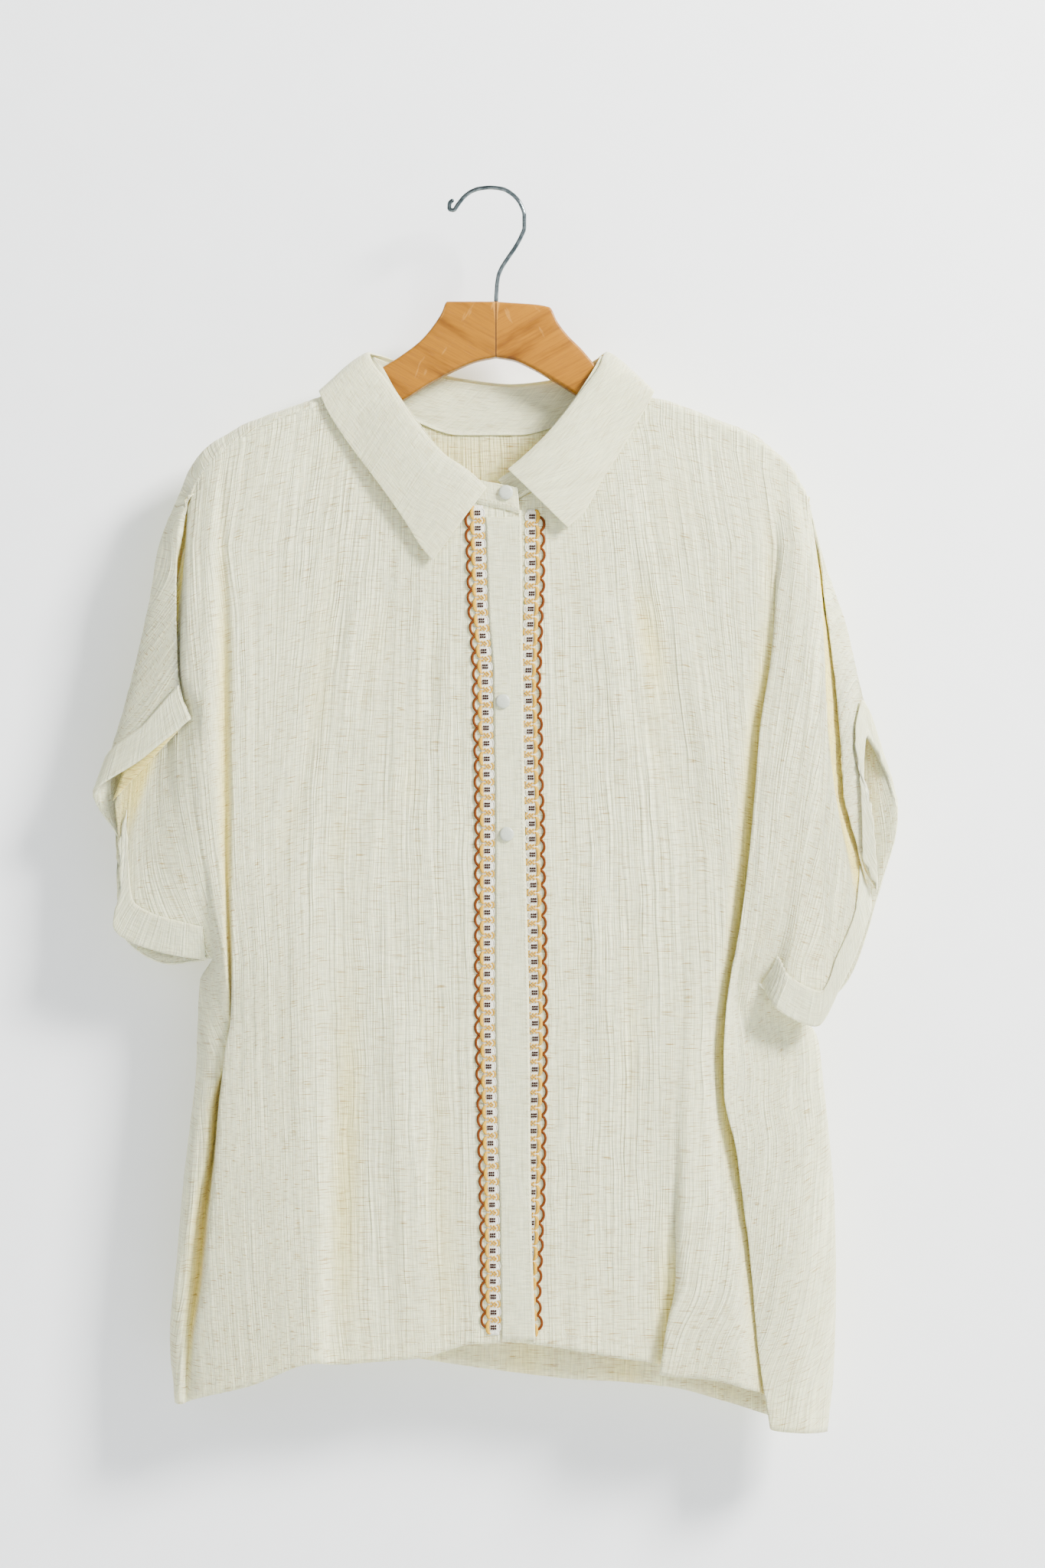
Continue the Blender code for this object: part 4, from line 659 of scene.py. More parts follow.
@dataclass
class PanelGrids:
    """A panel's points above and below the underarm, with each point's place on the flat cloth."""

    places: np.ndarray
    keep: np.ndarray
    upper: np.ndarray
    lower: np.ndarray
    flat_up: tuple[np.ndarray, np.ndarray]
    flat_low: tuple[np.ndarray, np.ndarray]
    # The hem's width and how far it stands out.
    HEM: ClassVar = 11.0
    HEM_STEP: ClassVar = 0.28
    # Rows of the tuck: how far each goes on and how far it sinks.
    TUCK: ClassVar = ((0.7, 0.25), (1.5, 0.9), (2.6, 1.9))
    # Columns on either side among which the foremost point is sought, and the depth of a full hollow.
    REACH: ClassVar = 16
    FULL_HOLLOW: ClassVar = 5.0

    def tuck(self, outward: float) -> None:
        """Carry the shoulder's edge on under its neighbour, so that no light shows through the seam.

        Formula: three more rows go on in the cloth's own direction and bend inwards, but not at the neck.
        """
        edge = self.upper[0]
        way = edge - self.upper[2]
        way /= np.linalg.norm(way, axis=1, keepdims=True)
        inward = -normals(self.upper)[1] * outward
        aside = np.clip((np.abs(edge[:, :1]) - 70.0) / 15.0, 0.0, 1.0)
        rows = [edge + way * on * (0.3 + 0.7 * aside) + inward * sunk * aside for on, sunk in self.TUCK]
        self.upper = np.concatenate((rows[::-1], self.upper))
        u, v = self.flat_up
        steps = np.array([[on] for on, _ in self.TUCK[::-1]])
        self.flat_up = (np.concatenate((np.repeat(u[:1], len(steps), axis=0), u)),
                        np.concatenate((v[:1] - steps, v)))

    def crease(self, seed: float, outward: float, creases: tuple[Crease, ...], calm: float) -> None:
        """Move the points by the cloth's creases and its turned hem, and turn the threads on the sleeves.

        Formula: long soft ridges are a sine of the place across, bent by noise, times a noise for how
        strongly each stands; the hem's last 11 mm stand out by a smooth step.
        """
        self.upper = self.upper + normals(self.upper) * raised(*self.flat_up, seed, creases, calm)[..., None]
        to_hem = self.flat_low[1][-1:] - self.flat_low[1]
        hem = np.clip((self.HEM - to_hem) / 1.5 + 1.0, 0.0, 1.0) * self.HEM_STEP * outward
        height = raised(*self.flat_low, seed, creases, calm) + hem
        last = self.upper[-1][self.keep]
        self.lower = self.lower + normals(self.lower) * height[..., None]
        blend = np.linspace(1.0, 0.0, 5)[:, None, None]
        self.lower[:5] += (last - self.lower[0])[None] * blend
        self.flat_up = threads_at(*self.flat_up)
        self.flat_low = threads_at(*self.flat_low)

    def hollow(self, seams: tuple[float, float]) -> tuple[np.ndarray, np.ndarray]:
        """Return how deep each point lies in a fold, seen from the front.

        Formula: the smaller of its depths behind the foremost point within a reach on either side,
        over 5 mm, averaged with its neighbours.

        Args:
            seams: how far the neighbouring panel stands before the first and the last column.
        """
        found = []
        for grid, ahead in ((self.upper, seams), (self.lower, (0.0, 0.0))):
            depth = grid[..., 1]
            left = np.stack([np.roll(depth, k, axis=1) for k in range(1, self.REACH)])
            right = np.stack([np.roll(depth, -k, axis=1) for k in range(1, self.REACH)])
            for k in range(1, self.REACH):
                left[k - 1][:, :k] = depth[:, :k] - ahead[0]
                right[k - 1][:, -k:] = depth[:, -k:] - ahead[1]
            low = np.minimum(depth - left.min(axis=0), depth - right.min(axis=0))
            share = np.clip(low / self.FULL_HOLLOW, 0.0, 1.0)
            for _ in range(5):
                share = sum(np.roll(share, k, axis=1) for k in range(-2, 3)) / 5.0
            found.append(share)
        return found[0], found[1]

    def mesh(self) -> tuple[np.ndarray, list, np.ndarray]:
        """Return all points, all faces and all places on the flat cloth."""
        points = np.concatenate((self.upper.reshape(-1, 3), self.lower[1:].reshape(-1, 3)))
        place = np.concatenate((np.stack(self.flat_up, axis=2).reshape(-1, 2),
                                np.stack(self.flat_low, axis=2)[1:].reshape(-1, 2)))
        top = numbered(self.upper)
        under = np.vstack((top[-1][self.keep], numbered(self.lower[1:]) + top.size))
        faces = quads(top).tolist()
        corners = {int(top[-1][spot]) for spot in np.nonzero(self.keep)[0][[0, -1]] if 0 < spot < top.shape[1] - 1}
        for face in quads(under).tolist():
            faces.append([spot for spot in face if spot not in corners] if corners & set(face) else face)
        return points, faces, place


def threads_at(u: np.ndarray, v: np.ndarray) -> tuple[np.ndarray, np.ndarray]:
    """Turn the threads on the sleeves, whose cloth hangs askew.

    Formula: beyond 150 mm from the middle the warp leans by a third of the distance below the shoulder,
    which stops growing below the underarm, and the weft falls outwards by a quarter.
    """
    outer = np.clip((np.abs(u) - 150.0) / 110.0, 0.0, 1.0)
    outer = outer * outer * (3.0 - 2.0 * outer)
    below = np.clip(v - 260.0, 0.0, 300.0)
    sleeve = np.clip((660.0 - v) / 100.0, 0.0, 1.0)
    return (u + np.sign(u) * 0.33 * outer * below,
            v - 0.25 * np.clip(np.abs(u) - 150.0, 0.0, 200.0) * sleeve)


def raised(u: np.ndarray, v: np.ndarray, seed: float, creases: tuple[Crease, ...], calm: float) -> np.ndarray:
    """Return the height of ridges and creases together, calmed near the free edge under the trim."""
    height = relief(*threads_at(u, v), seed) + folded(u, v, creases)
    if calm:
        height *= 0.12 + 0.88 * np.clip((np.abs(u) - calm) / 14.0, 0.0, 1.0)
    return height


def folded(u: np.ndarray, v: np.ndarray, creases: tuple[Crease, ...]) -> np.ndarray:
    """Return the height of the listed creases, in millimetres.

    Formula: for each, its height times a bell curve of the distance to its line, which bows a little,
    times a sine of the place along it that fades at both ends.
    """
    height = np.zeros_like(u)
    for fold in creases:
        way_u, way_v = fold.to_u - fold.from_u, fold.to_v - fold.from_v
        length = math.hypot(way_u, way_v)
        on = ((u - fold.from_u) * way_u + (v - fold.from_v) * way_v) / length ** 2
        off = ((u - fold.from_u) * way_v - (v - fold.from_v) * way_u) / length
        fade = np.sin(np.pi * np.clip(on, 0.0, 1.0)) ** 0.8
        bow = fold.bow * np.sin(np.pi * np.clip(on, 0.0, 1.0))
        height += fold.height * fade * np.exp(-((off - bow) / fold.width) ** 2)
    return height


def relief(u: np.ndarray, v: np.ndarray, seed: float) -> np.ndarray:
    """Return the height of the cloth's long soft ridges, in millimetres.

    Formula: two sines of the place across, about 6 and 19 mm apart, each bent by slow noise and
    multiplied by a noise that changes along it.
    """
    bend = soft_noise(u / 34.0, v / 150.0, seed) * 1.1
    fine = np.sin(2.0 * np.pi * (u / 6.4 + bend)) * soft_noise(u / 12.0, v / 110.0, seed + 3.0) ** 1.5
    wide = np.sin(2.0 * np.pi * (u / 19.0 + bend * 0.6)) * soft_noise(u / 33.0, v / 120.0, seed + 7.0) ** 2
    return 0.26 * fine + 0.42 * wide


class Graph:
    """A node tree that is being filled."""

    def __init__(self, tree: bpy.types.NodeTree) -> None:
        """Keep the tree."""
        self.tree = tree

    def add(self, kind: str, inputs: dict | None = None, **settings: object) -> bpy.types.Node:
        """Add a node.

        Args:
            kind: the node's type, without "ShaderNode".
            inputs: socket name or number to a value or to the socket that feeds it.
            settings: the node's own properties.

        Returns:
            The node.
        """
        node = self.tree.nodes.new("ShaderNode" + kind)
        for key, value in settings.items():
            setattr(node, key, value)
        return self.feed(node, inputs or {})

    def feed(self, node: bpy.types.Node, inputs: dict) -> bpy.types.Node:
        """Link a node's sockets to those that feed them, or set their values, and return the node."""
        for key, value in inputs.items():
            if isinstance(value, bpy.types.NodeSocket):
                self.tree.links.new(value, node.inputs[key])
            else:
                node.inputs[key].default_value = value
        return node

    def math(self, operation: str, first: object, second: object = 0.0,
             clamp: bool = False) -> bpy.types.NodeSocket:
        """Add a Math node and return its value."""
        return self.add("Math", {0: first, 1: second}, operation=operation, use_clamp=clamp).outputs[0]

    def times(self, first: object, second: object) -> bpy.types.NodeSocket:
        """Multiply two values."""
        return self.math("MULTIPLY", first, second)

    def plus(self, first: object, second: object, clamp: bool = False) -> bpy.types.NodeSocket:
        """Add two values."""
        return self.math("ADD", first, second, clamp)

    def stretched(self, vector: bpy.types.NodeSocket, scale: tuple[float, float, float],
                  shift: tuple[float, float, float] = (0.0, 0.0, 0.0)) -> bpy.types.NodeSocket:
        """Scale a place, so that a pattern is stretched along some axes."""
        return self.add("Mapping", {"Vector": vector, "Scale": scale, "Location": shift}).outputs[0]

    def noise(self, vector: bpy.types.NodeSocket, scale: tuple[float, float, float], detail: float = 2.0,
              roughness: float = 0.5, shift: tuple[float, float, float] = (0.0, 0.0, 0.0),
              output: str = "Fac") -> bpy.types.NodeSocket:
        """Add a Noise Texture on a scaled place and return its value, or its colour."""
        made = self.add("TexNoise", {"Vector": self.stretched(vector, scale, shift), "Scale": 1.0,
                                     "Detail": detail, "Roughness": roughness})
        return made.outputs[output]

    def spread(self, value: bpy.types.NodeSocket, low: float, high: float, to_low: float = 0.0,
               to_high: float = 1.0) -> bpy.types.NodeSocket:
        """Map a span of a value to another span, held at its ends."""
        return self.add("MapRange", {"Value": value, "From Min": low, "From Max": high, "To Min": to_low,
                                     "To Max": to_high}, interpolation_type="SMOOTHSTEP").outputs[0]

    def mix(self, share: object, first: object, second: object, blend: str = "MIX") -> bpy.types.NodeSocket:
        """Mix two colours."""
        node = self.add("Mix", data_type="RGBA", blend_type=blend)
        return self.feed(node, {0: share, 6: first, 7: second}).outputs[2]

    def bump(self, height: bpy.types.NodeSocket, strength: float, distance: float) -> bpy.types.NodeSocket:
        """Turn a height into a normal; the distance is in metres."""
        return self.add("Bump", {"Height": height, "Strength": strength, "Distance": distance}).outputs[0]

    def group(self, tree: bpy.types.NodeTree, inputs: dict) -> bpy.types.Node:
        """Place a node group."""
        node = self.add("Group")
        node.node_tree = tree
        return self.feed(node, inputs)

    def object_place(self) -> bpy.types.NodeSocket:
        """Return the place in Object coordinates."""
        return self.add("TexCoord").outputs["Object"]


def rgb(red: float, green: float, blue: float) -> tuple[float, float, float, float]:
    """Return a colour with its alpha."""
    return red, green, blue, 1.0


def new_group(name: str, inputs: dict[str, tuple[str, object]],
              outputs: dict[str, str]) -> tuple[Graph, bpy.types.Node, bpy.types.Node]:
    """Make a node group with named sockets and return its graph, its input and its output node."""
    tree = bpy.data.node_groups.new(name, "ShaderNodeTree")
    for key, (kind, value) in inputs.items():
        socket = tree.interface.new_socket(key, in_out="INPUT", socket_type="NodeSocket" + kind)
        if value is not None:
            socket.default_value = value
    for key, kind in outputs.items():
        tree.interface.new_socket(key, in_out="OUTPUT", socket_type="NodeSocket" + kind)
    return Graph(tree), tree.nodes.new("NodeGroupInput"), tree.nodes.new("NodeGroupOutput")


def woven_gauze() -> bpy.types.NodeTree:
    """Build the crinkled gauze: threads, crinkle lines with painted shade in their troughs, slubs, and a painted
    warm shade in deep folds.

    Place is the place on the flat cloth in millimetres. Height comes out in millimetres.
    """
    graph, given, out = new_group(
        "woven_gauze",
        {"Place": ("Vector", None), "Cloth": ("Color", rgb(0.8, 0.78, 0.68)),
         "Slub": ("Color", rgb(0.4, 0.3, 0.15)), "Painted Fold Shade": ("Color", rgb(0.7, 0.5, 0.2)),
         "Hollow": ("Float", 0.0), "Crinkle": ("Float", 1.0), "Slubs": ("Float", 0.5)},
        {"Color": "Color", "Height": "Float"})
    place, crinkle = given.outputs["Place"], given.outputs["Crinkle"]
    wander = graph.noise(place, (0.05, 0.018, 0.0), 1.0, output="Color")
    bent = graph.add("VectorMath", {0: place, 1: graph.stretched(wander, (5.0, 0.0, 0.0))},
                     operation="ADD").outputs[0]
    ridge = graph.spread(graph.noise(bent, (0.5, 0.007, 0.0), 2.0, 0.6), 0.32, 0.68)
    lone = graph.spread(graph.noise(bent, (0.24, 0.005, 0.0), 1.0, shift=(31.0, 7.0, 0.0)), 0.58, 0.7)
    where = graph.spread(graph.noise(place, (0.018, 0.006, 0.0)), 0.35, 0.65, 0.35, 1.0)
    standing = graph.times(graph.plus(graph.times(ridge, where), graph.times(lone, 0.55)), crinkle)
    weft = graph.noise(place, (0.09, 0.95, 0.0), 2.0, 0.6)
    warp = graph.noise(place, (1.3, 0.05, 0.0), 2.0, 0.6, (3.0, 9.0, 0.0))
    threads = graph.plus(weft, warp)
    slub = graph.spread(graph.noise(place, (0.07, 1.5, 0.0), 1.0, 0.4, (11.0, 5.0, 0.0)), 0.62, 0.67)
    slub_down = graph.spread(graph.noise(place, (1.9, 0.05, 0.0), 1.0, 0.4, (2.0, 17.0, 0.0)), 0.66, 0.71)
    marks = graph.plus(slub, graph.times(slub_down, 0.5), clamp=True)
    # The threads' own pattern, and painted shade: darker in the crinkles' troughs, a little lighter on their
    # ridges.
    shade = graph.times(graph.spread(threads, 0.7, 1.3, 0.80, 1.08), graph.spread(standing, 0.0, 1.0, 0.86, 1.04))
    cloth = graph.mix(1.0, given.outputs["Cloth"], shade, "MULTIPLY")
    cloth = graph.mix(graph.times(marks, given.outputs["Slubs"]), cloth, given.outputs["Slub"])
    # Painted shade: points deep in a fold, by the Hollow input, are multiplied by the warm painted fold shade
    # colour.
    deep = graph.spread(given.outputs["Hollow"], 0.02, 0.8)
    cloth = graph.mix(deep, cloth, given.outputs["Painted Fold Shade"], "MULTIPLY")
    flat = graph.plus(graph.times(threads, 0.3), graph.times(marks, 0.12))
    height = graph.plus(graph.times(standing, 0.8), flat)
    graph.feed(out, {"Color": cloth, "Height": height})
    return graph.tree


def plied_yarn() -> bpy.types.NodeTree:
    """Build twisted yarn: slanting plies in the height, and in the colour as painted shade in the grooves between
    them, on Object coordinates.
    """
    graph, given, out = new_group(
        "plied_yarn",
        {"Place": ("Vector", None), "Yarn": ("Color", rgb(0.5, 0.3, 0.1)), "Plies": ("Float", 1500.0)},
        {"Color": "Color", "Height": "Float"})
    scaled = graph.add("VectorMath", {0: given.outputs["Place"], "Scale": given.outputs["Plies"]},
                       operation="SCALE").outputs[0]
    slant = graph.add("Mapping", {"Vector": scaled, "Rotation": (0.0, 0.7, 0.0), "Scale": (1.0, 1.0, 0.3)})
    plies = graph.add("TexNoise", {"Vector": slant.outputs[0], "Scale": 1.0, "Detail": 2.0,
                                   "Roughness": 0.6}).outputs["Fac"]
    # Painted shade and light: darker in the grooves between plies, lighter on their crowns.
    colour = graph.mix(1.0, given.outputs["Yarn"], graph.spread(plies, 0.3, 0.7, 0.72, 1.15), "MULTIPLY")
    graph.feed(out, {"Color": colour, "Height": plies})
    return graph.tree


class Groups:
    """The shader groups, each built once."""

    gauze: bpy.types.NodeTree = woven_gauze()
    yarn: bpy.types.NodeTree = plied_yarn()


def start_material(name: str, roughness: float, metallic: float = 0.0,
                   specular: float = 0.5) -> tuple[bpy.types.Material, Graph, bpy.types.Node]:
    """Make a material and return it with its graph and its Principled BSDF."""
    material = bpy.data.materials.new(name)
    material.use_nodes = True
    graph = Graph(material.node_tree)
    shader = graph.feed(material.node_tree.nodes["Principled BSDF"],
                        {"Roughness": roughness, "Metallic": metallic, "Specular IOR Level": specular})
    return material, graph, shader


@dataclass(frozen=True)
class Linen:
    """Cream crinkle gauze with darker slubs, and a painted warm shade in folds that face the front."""

    name: str
    weave: Weave
    cloth: tuple[float, float, float] = (0.84, 0.832, 0.535)
    slub: tuple[float, float, float] = (0.36, 0.23, 0.05)
    # Painted shade: the warm tint that deep folds are multiplied by.
    painted_fold_shade: tuple[float, float, float] = (1.15, 0.97, 0.47)
    slubs: float = 0.75
    slubs_when_fused: float = 0.4
    sheen: float = 0.2

    def material(self) -> bpy.types.Material:
        """Return the finish."""
        made, graph, shader = start_material(self.name, 0.88, specular=0.2)
        # Painted shade: the hollow attribute, only on faces that look to the front, sets how much of the painted
        # fold shade a point takes.
        facing = graph.add("SeparateXYZ", {"Vector": graph.add("NewGeometry").outputs["Normal"]}).outputs[1]
        hollow = graph.times(graph.add("Attribute", attribute_name="hollow").outputs["Fac"],
                             graph.spread(facing, -0.1, 0.35, 1.0, 0.0))
        gauze = graph.group(Groups.gauze, {
            "Place": graph.add("UVMap", uv_map="cloth").outputs[0], "Cloth": rgb(*self.cloth),
            "Slub": rgb(*self.slub), "Painted Fold Shade": rgb(*self.painted_fold_shade), "Hollow": hollow, "Crinkle": self.weave.value,
            "Slubs": self.slubs * (1.0 if self.weave is Weave.CRINKLED else self.slubs_when_fused)})
        graph.feed(shader, {
            "Base Color": gauze.outputs["Color"], "Normal": graph.bump(gauze.outputs["Height"], 1.0, MM),
            "Sheen Weight": self.sheen, "Sheen Roughness": 0.5, "Subsurface Weight": 0.3,
            "Subsurface Radius": (1.0, 0.74, 0.34), "Subsurface Scale": 3.5 * MM})
        return made


@dataclass(frozen=True)
class Yarn:
    """Plied yarn or sewing thread of one colour."""

    name: str
    colour: tuple[float, float, float]
    plies: float = 1500.0
    height: float = 0.25

    def material(self) -> bpy.types.Material:
        """Return the finish."""
        made, graph, shader = start_material(self.name, 0.75, specular=0.12)
        yarn = graph.group(Groups.yarn, {"Place": graph.object_place(), "Yarn": rgb(*self.colour),
                                         "Plies": self.plies})
        graph.feed(shader, {"Base Color": yarn.outputs["Color"],
                            "Normal": graph.bump(yarn.outputs["Height"], 1.0, self.height * MM)})
        return made


@dataclass(frozen=True)
class HoneyWood:
    """Varnished wood with a fine grain along each arm, pores, scratches, lighter sharp edges and a dark joint."""

    name: str
    slope: float
    joint: float
    light: tuple[float, float, float] = (0.30, 0.118, 0.003)
    dark: tuple[float, float, float] = (0.11, 0.034, 0.001)

    def material(self) -> bpy.types.Material:
        """Return the finish."""
        made, graph, shader = start_material(self.name, 0.34, specular=0.22)
        place = graph.object_place()
        turned = graph.add("Mapping", {"Vector": place, "Rotation": (0.0, self.slope, 0.0)}).outputs[0]
        wide = graph.noise(turned, (9.0, 20.0, 60.0), 4.0, 0.65)
        fine = graph.noise(turned, (22.0, 200.0, 720.0), 3.0, 0.7)
        pores = graph.spread(graph.noise(turned, (80.0, 400.0, 1500.0), 1.0), 0.62, 0.72)
        scratch = graph.spread(graph.noise(turned, (260.0, 60.0, 45.0), shift=(3.0, 1.0, 2.0)), 0.66, 0.72)
        # Lighter on sharp convex edges, by pointiness.
        edge = graph.spread(graph.add("NewGeometry").outputs["Pointiness"], 0.52, 0.6)
        across = graph.add("SeparateXYZ", {0: place}).outputs[0]
        near = graph.math("ABSOLUTE", graph.math("SUBTRACT", across, self.joint * MM))
        colour = graph.mix(graph.spread(wide, 0.28, 0.52), rgb(*self.dark), rgb(*self.light))
        for share, tone in ((graph.spread(fine, 0.35, 0.7, 0.0, 0.35), rgb(*self.dark)),
                            (graph.times(pores, 0.35), rgb(0.2, 0.07, 0.015)),
                            (graph.times(scratch, 0.22), rgb(0.62, 0.31, 0.07)),
                            (graph.times(edge, 0.4), rgb(0.58, 0.27, 0.05)),
                            (graph.spread(near, 0.15 * MM, 0.75 * MM, 0.9, 0.0), rgb(0.05, 0.02, 0.008))):
            colour = graph.mix(share, colour, tone)
        height = graph.plus(fine, graph.times(pores, -0.8))
        graph.feed(shader, {
            "Base Color": colour, "Roughness": graph.spread(fine, 0.2, 0.8, 0.28, 0.46),
            "Normal": graph.bump(height, 0.35, 0.25 * MM), "Coat Weight": 0.05, "Coat Roughness": 0.2})
        return made


@dataclass(frozen=True)
class Chrome:
    """Plated steel wire, a little dulled."""

    name: str = "hook_chrome"

    def material(self) -> bpy.types.Material:
        """Return the finish."""
        made, graph, shader = start_material(self.name, 0.1, metallic=1.0)
        rubbed = graph.noise(graph.object_place(), (300.0, 300.0, 300.0), 3.0)
        colour = graph.mix(graph.spread(rubbed, 0.3, 0.7), rgb(0.07, 0.09, 0.095), rgb(0.19, 0.22, 0.225))
        graph.feed(shader, {"Base Color": colour, "Specular Tint": rgb(0.3, 0.36, 0.37),
                            "Roughness": graph.spread(rubbed, 0.3, 0.75, 0.05, 0.18)})
        return made


@dataclass(frozen=True)
class Shell:
    """Milky button with a faint swirl, or satin tape."""

    name: str
    colour: tuple[float, float, float]
    roughness: float
    scale: float = 400.0

    def material(self) -> bpy.types.Material:
        """Return the finish."""
        made, graph, shader = start_material(self.name, self.roughness)
        swirl = graph.noise(graph.object_place(), (self.scale, self.scale, self.scale * 2.5), 3.0)
        shade = graph.spread(swirl, 0.3, 0.7, 0.93, 1.04)
        graph.feed(shader, {"Base Color": graph.mix(1.0, rgb(*self.colour), shade, "MULTIPLY"),
                            "Normal": graph.bump(swirl, 0.25, 0.1 * MM)})
        return made


@dataclass(frozen=True)
class Wall:
    """Matt white paint, seen from its front only, so that the views from behind look past it."""

    name: str = "studio_wall"

    def material(self) -> bpy.types.Material:
        """Return the finish."""
        made, graph, shader = start_material(self.name, 0.9, specular=0.1)
        mottle = graph.spread(graph.noise(graph.object_place(), (30.0, 30.0, 30.0), 4.0), 0.3, 0.7, 0.985, 1.0)
        graph.feed(shader, {"Base Color": graph.mix(1.0, rgb(0.93, 0.945, 0.955), mottle, "MULTIPLY")})
        either = graph.add("MixShader", {0: graph.add("NewGeometry").outputs["Backfacing"], 1: shader.outputs[0],
                                         2: graph.add("BsdfTransparent").outputs[0]})
        graph.feed(made.node_tree.nodes["Material Output"], {0: either.outputs[0]})
        return made


@dataclass
class DepthMap:
    """How deep a panel's cloth lies at a place, read from its own grids."""

    grids: PanelGrids
    low: float = 205.0
    high: float = 846.0
    left: float = -50.0
    right: float = 80.0
    step: float = 1.0
    table: np.ndarray = field(init=False)

    def __post_init__(self) -> None:
        """Fill a table of depths: along every level, the columns' depths joined in order across."""
        keep = self.grids.keep
        column = np.concatenate((self.grids.upper[:, keep], self.grids.lower[1:]))
        levels = np.arange(self.low, self.high, self.step * 4.0)
        places = np.arange(self.left, self.right, self.step)
        near = [k for k in range(column.shape[1]) if abs(column[:, k, 0].mean()) < 90.0]
        x = np.stack([np.interp(levels, column[:, k, 2], column[:, k, 0]) for k in near], axis=1)
        y = np.stack([np.interp(levels, column[:, k, 2], column[:, k, 1]) for k in near], axis=1)
        order = np.argsort(x, axis=1)
        x, y = np.take_along_axis(x, order, 1), np.take_along_axis(y, order, 1)
        self.table = np.stack([np.interp(places, a, b) for a, b in zip(x, y)])

    def at(self, across: np.ndarray, down: np.ndarray) -> np.ndarray:
        """Return the depths at places, blended between the table's four nearest."""
        r = np.clip((down - self.low) / (self.step * 4.0), 0, self.table.shape[0] - 1.001)
        c = np.clip((across - self.left) / self.step, 0, self.table.shape[1] - 1.001)
        i, j = r.astype(int), c.astype(int)
        fr, fc = r - i, c - j
        return ((self.table[i, j] * (1 - fc) + self.table[i, j + 1] * fc) * (1 - fr)
                + (self.table[i + 1, j] * (1 - fc) + self.table[i + 1, j + 1] * fc) * fr)


def tubes(lines: np.ndarray, radius: np.ndarray | float, sides: int,
          flat: float = 1.0) -> tuple[np.ndarray, list]:
    """Carry a ring along each of many lines, with a face over both ends.

    Formula: a point is the line's point plus the radius times the cosine along the line's side and the
    sine, times the flatness, along the depth.

    Args:
        lines: (line, point, 3) of (across, depth, down).
        radius: one radius, or one for each point of a line.
        sides: points of the ring.
        flat: how deep the ring is, as a share of its width.

    Returns:
        Points and faces.
    """
    tangent = np.gradient(lines, axis=1)
    tangent /= np.maximum(np.linalg.norm(tangent, axis=2, keepdims=True), 1e-9)
    deep = np.array([0.0, 1.0, 0.0])
    side = np.cross(tangent, deep)
    side /= np.maximum(np.linalg.norm(side, axis=2, keepdims=True), 1e-9)
    up = np.cross(side, tangent)
    turn = np.linspace(0.0, 2.0 * np.pi, sides, endpoint=False)
    wide = np.broadcast_to(np.asarray(radius, dtype=float), lines.shape[1:2])[None, :, None, None]
    ring = (side[:, :, None] * np.cos(turn)[None, None, :, None]
            + up[:, :, None] * np.sin(turn)[None, None, :, None] * flat) * wide
    points = lines[:, :, None] + ring
    index = numbered(points)
    return points.reshape(-1, 3), around(index) + index[:, 0, ::-1].tolist() + index[:, -1].tolist()


def stitches(name: str, path: np.ndarray, outward: np.ndarray, material: bpy.types.Material, slot: str,
             length: float = 2.1, pitch: float = 3.0, radius: float = 0.22) -> bpy.types.Object:
    """Lay sewing stitches along a path as one piece.

    Formula: at every pitch of the path's length stands a thin eight-sided spindle along the path, half
    a radius out of the cloth.

    Args:
        name: the piece's name.
        path: points of the line.
        outward: unit directions out of the cloth.
        material: the thread.
        slot: not used.
        length: a stitch's length.
        pitch: the distance from one stitch to the next.
        radius: half a stitch's width.
    """
    stops = spots(path)
    at = np.arange(pitch, stops[-1] - pitch, pitch)
    centre = between(at, stops, path)
    out = between(at, stops, outward)
    way = between(at + 0.5, stops, path) - centre
    way /= np.linalg.norm(way, axis=1, keepdims=True)
    out -= way * np.sum(way * out, axis=1, keepdims=True)
    out /= np.linalg.norm(out, axis=1, keepdims=True)
    side = np.cross(way, out)
    middle = centre + out * radius * 0.5
    ends = [middle - way * length / 2.0 - out * radius * 0.6, middle + way * length / 2.0 - out * radius * 0.6]
    rings = [middle + way * length * share + side * radius * a + out * radius * b
             for share in (-0.25, 0.25) for a, b in ((1, 0), (0, 1), (-1, 0), (0, -1))]
    points = np.stack(ends + rings, axis=1)
    base = (np.arange(len(at)) * 10)[:, None]
    faces: list = []
    for k in range(4):
        after = (k + 1) % 4
        faces += (base + np.array([2 + k, 2 + after, 6 + after, 6 + k])).tolist()
        faces += (base + np.array([0, 2 + after, 2 + k])).tolist()
        faces += (base + np.array([1, 6 + k, 6 + after])).tolist()
    return closed_piece(name, points, faces, material, slot)


def on_edge(grid: np.ndarray, distance: float) -> np.ndarray:
    """Return the line on a grid that lies a distance above its last row."""
    return np.stack([between(distance, spots(column), column) for column in grid[::-1].swapaxes(0, 1)])


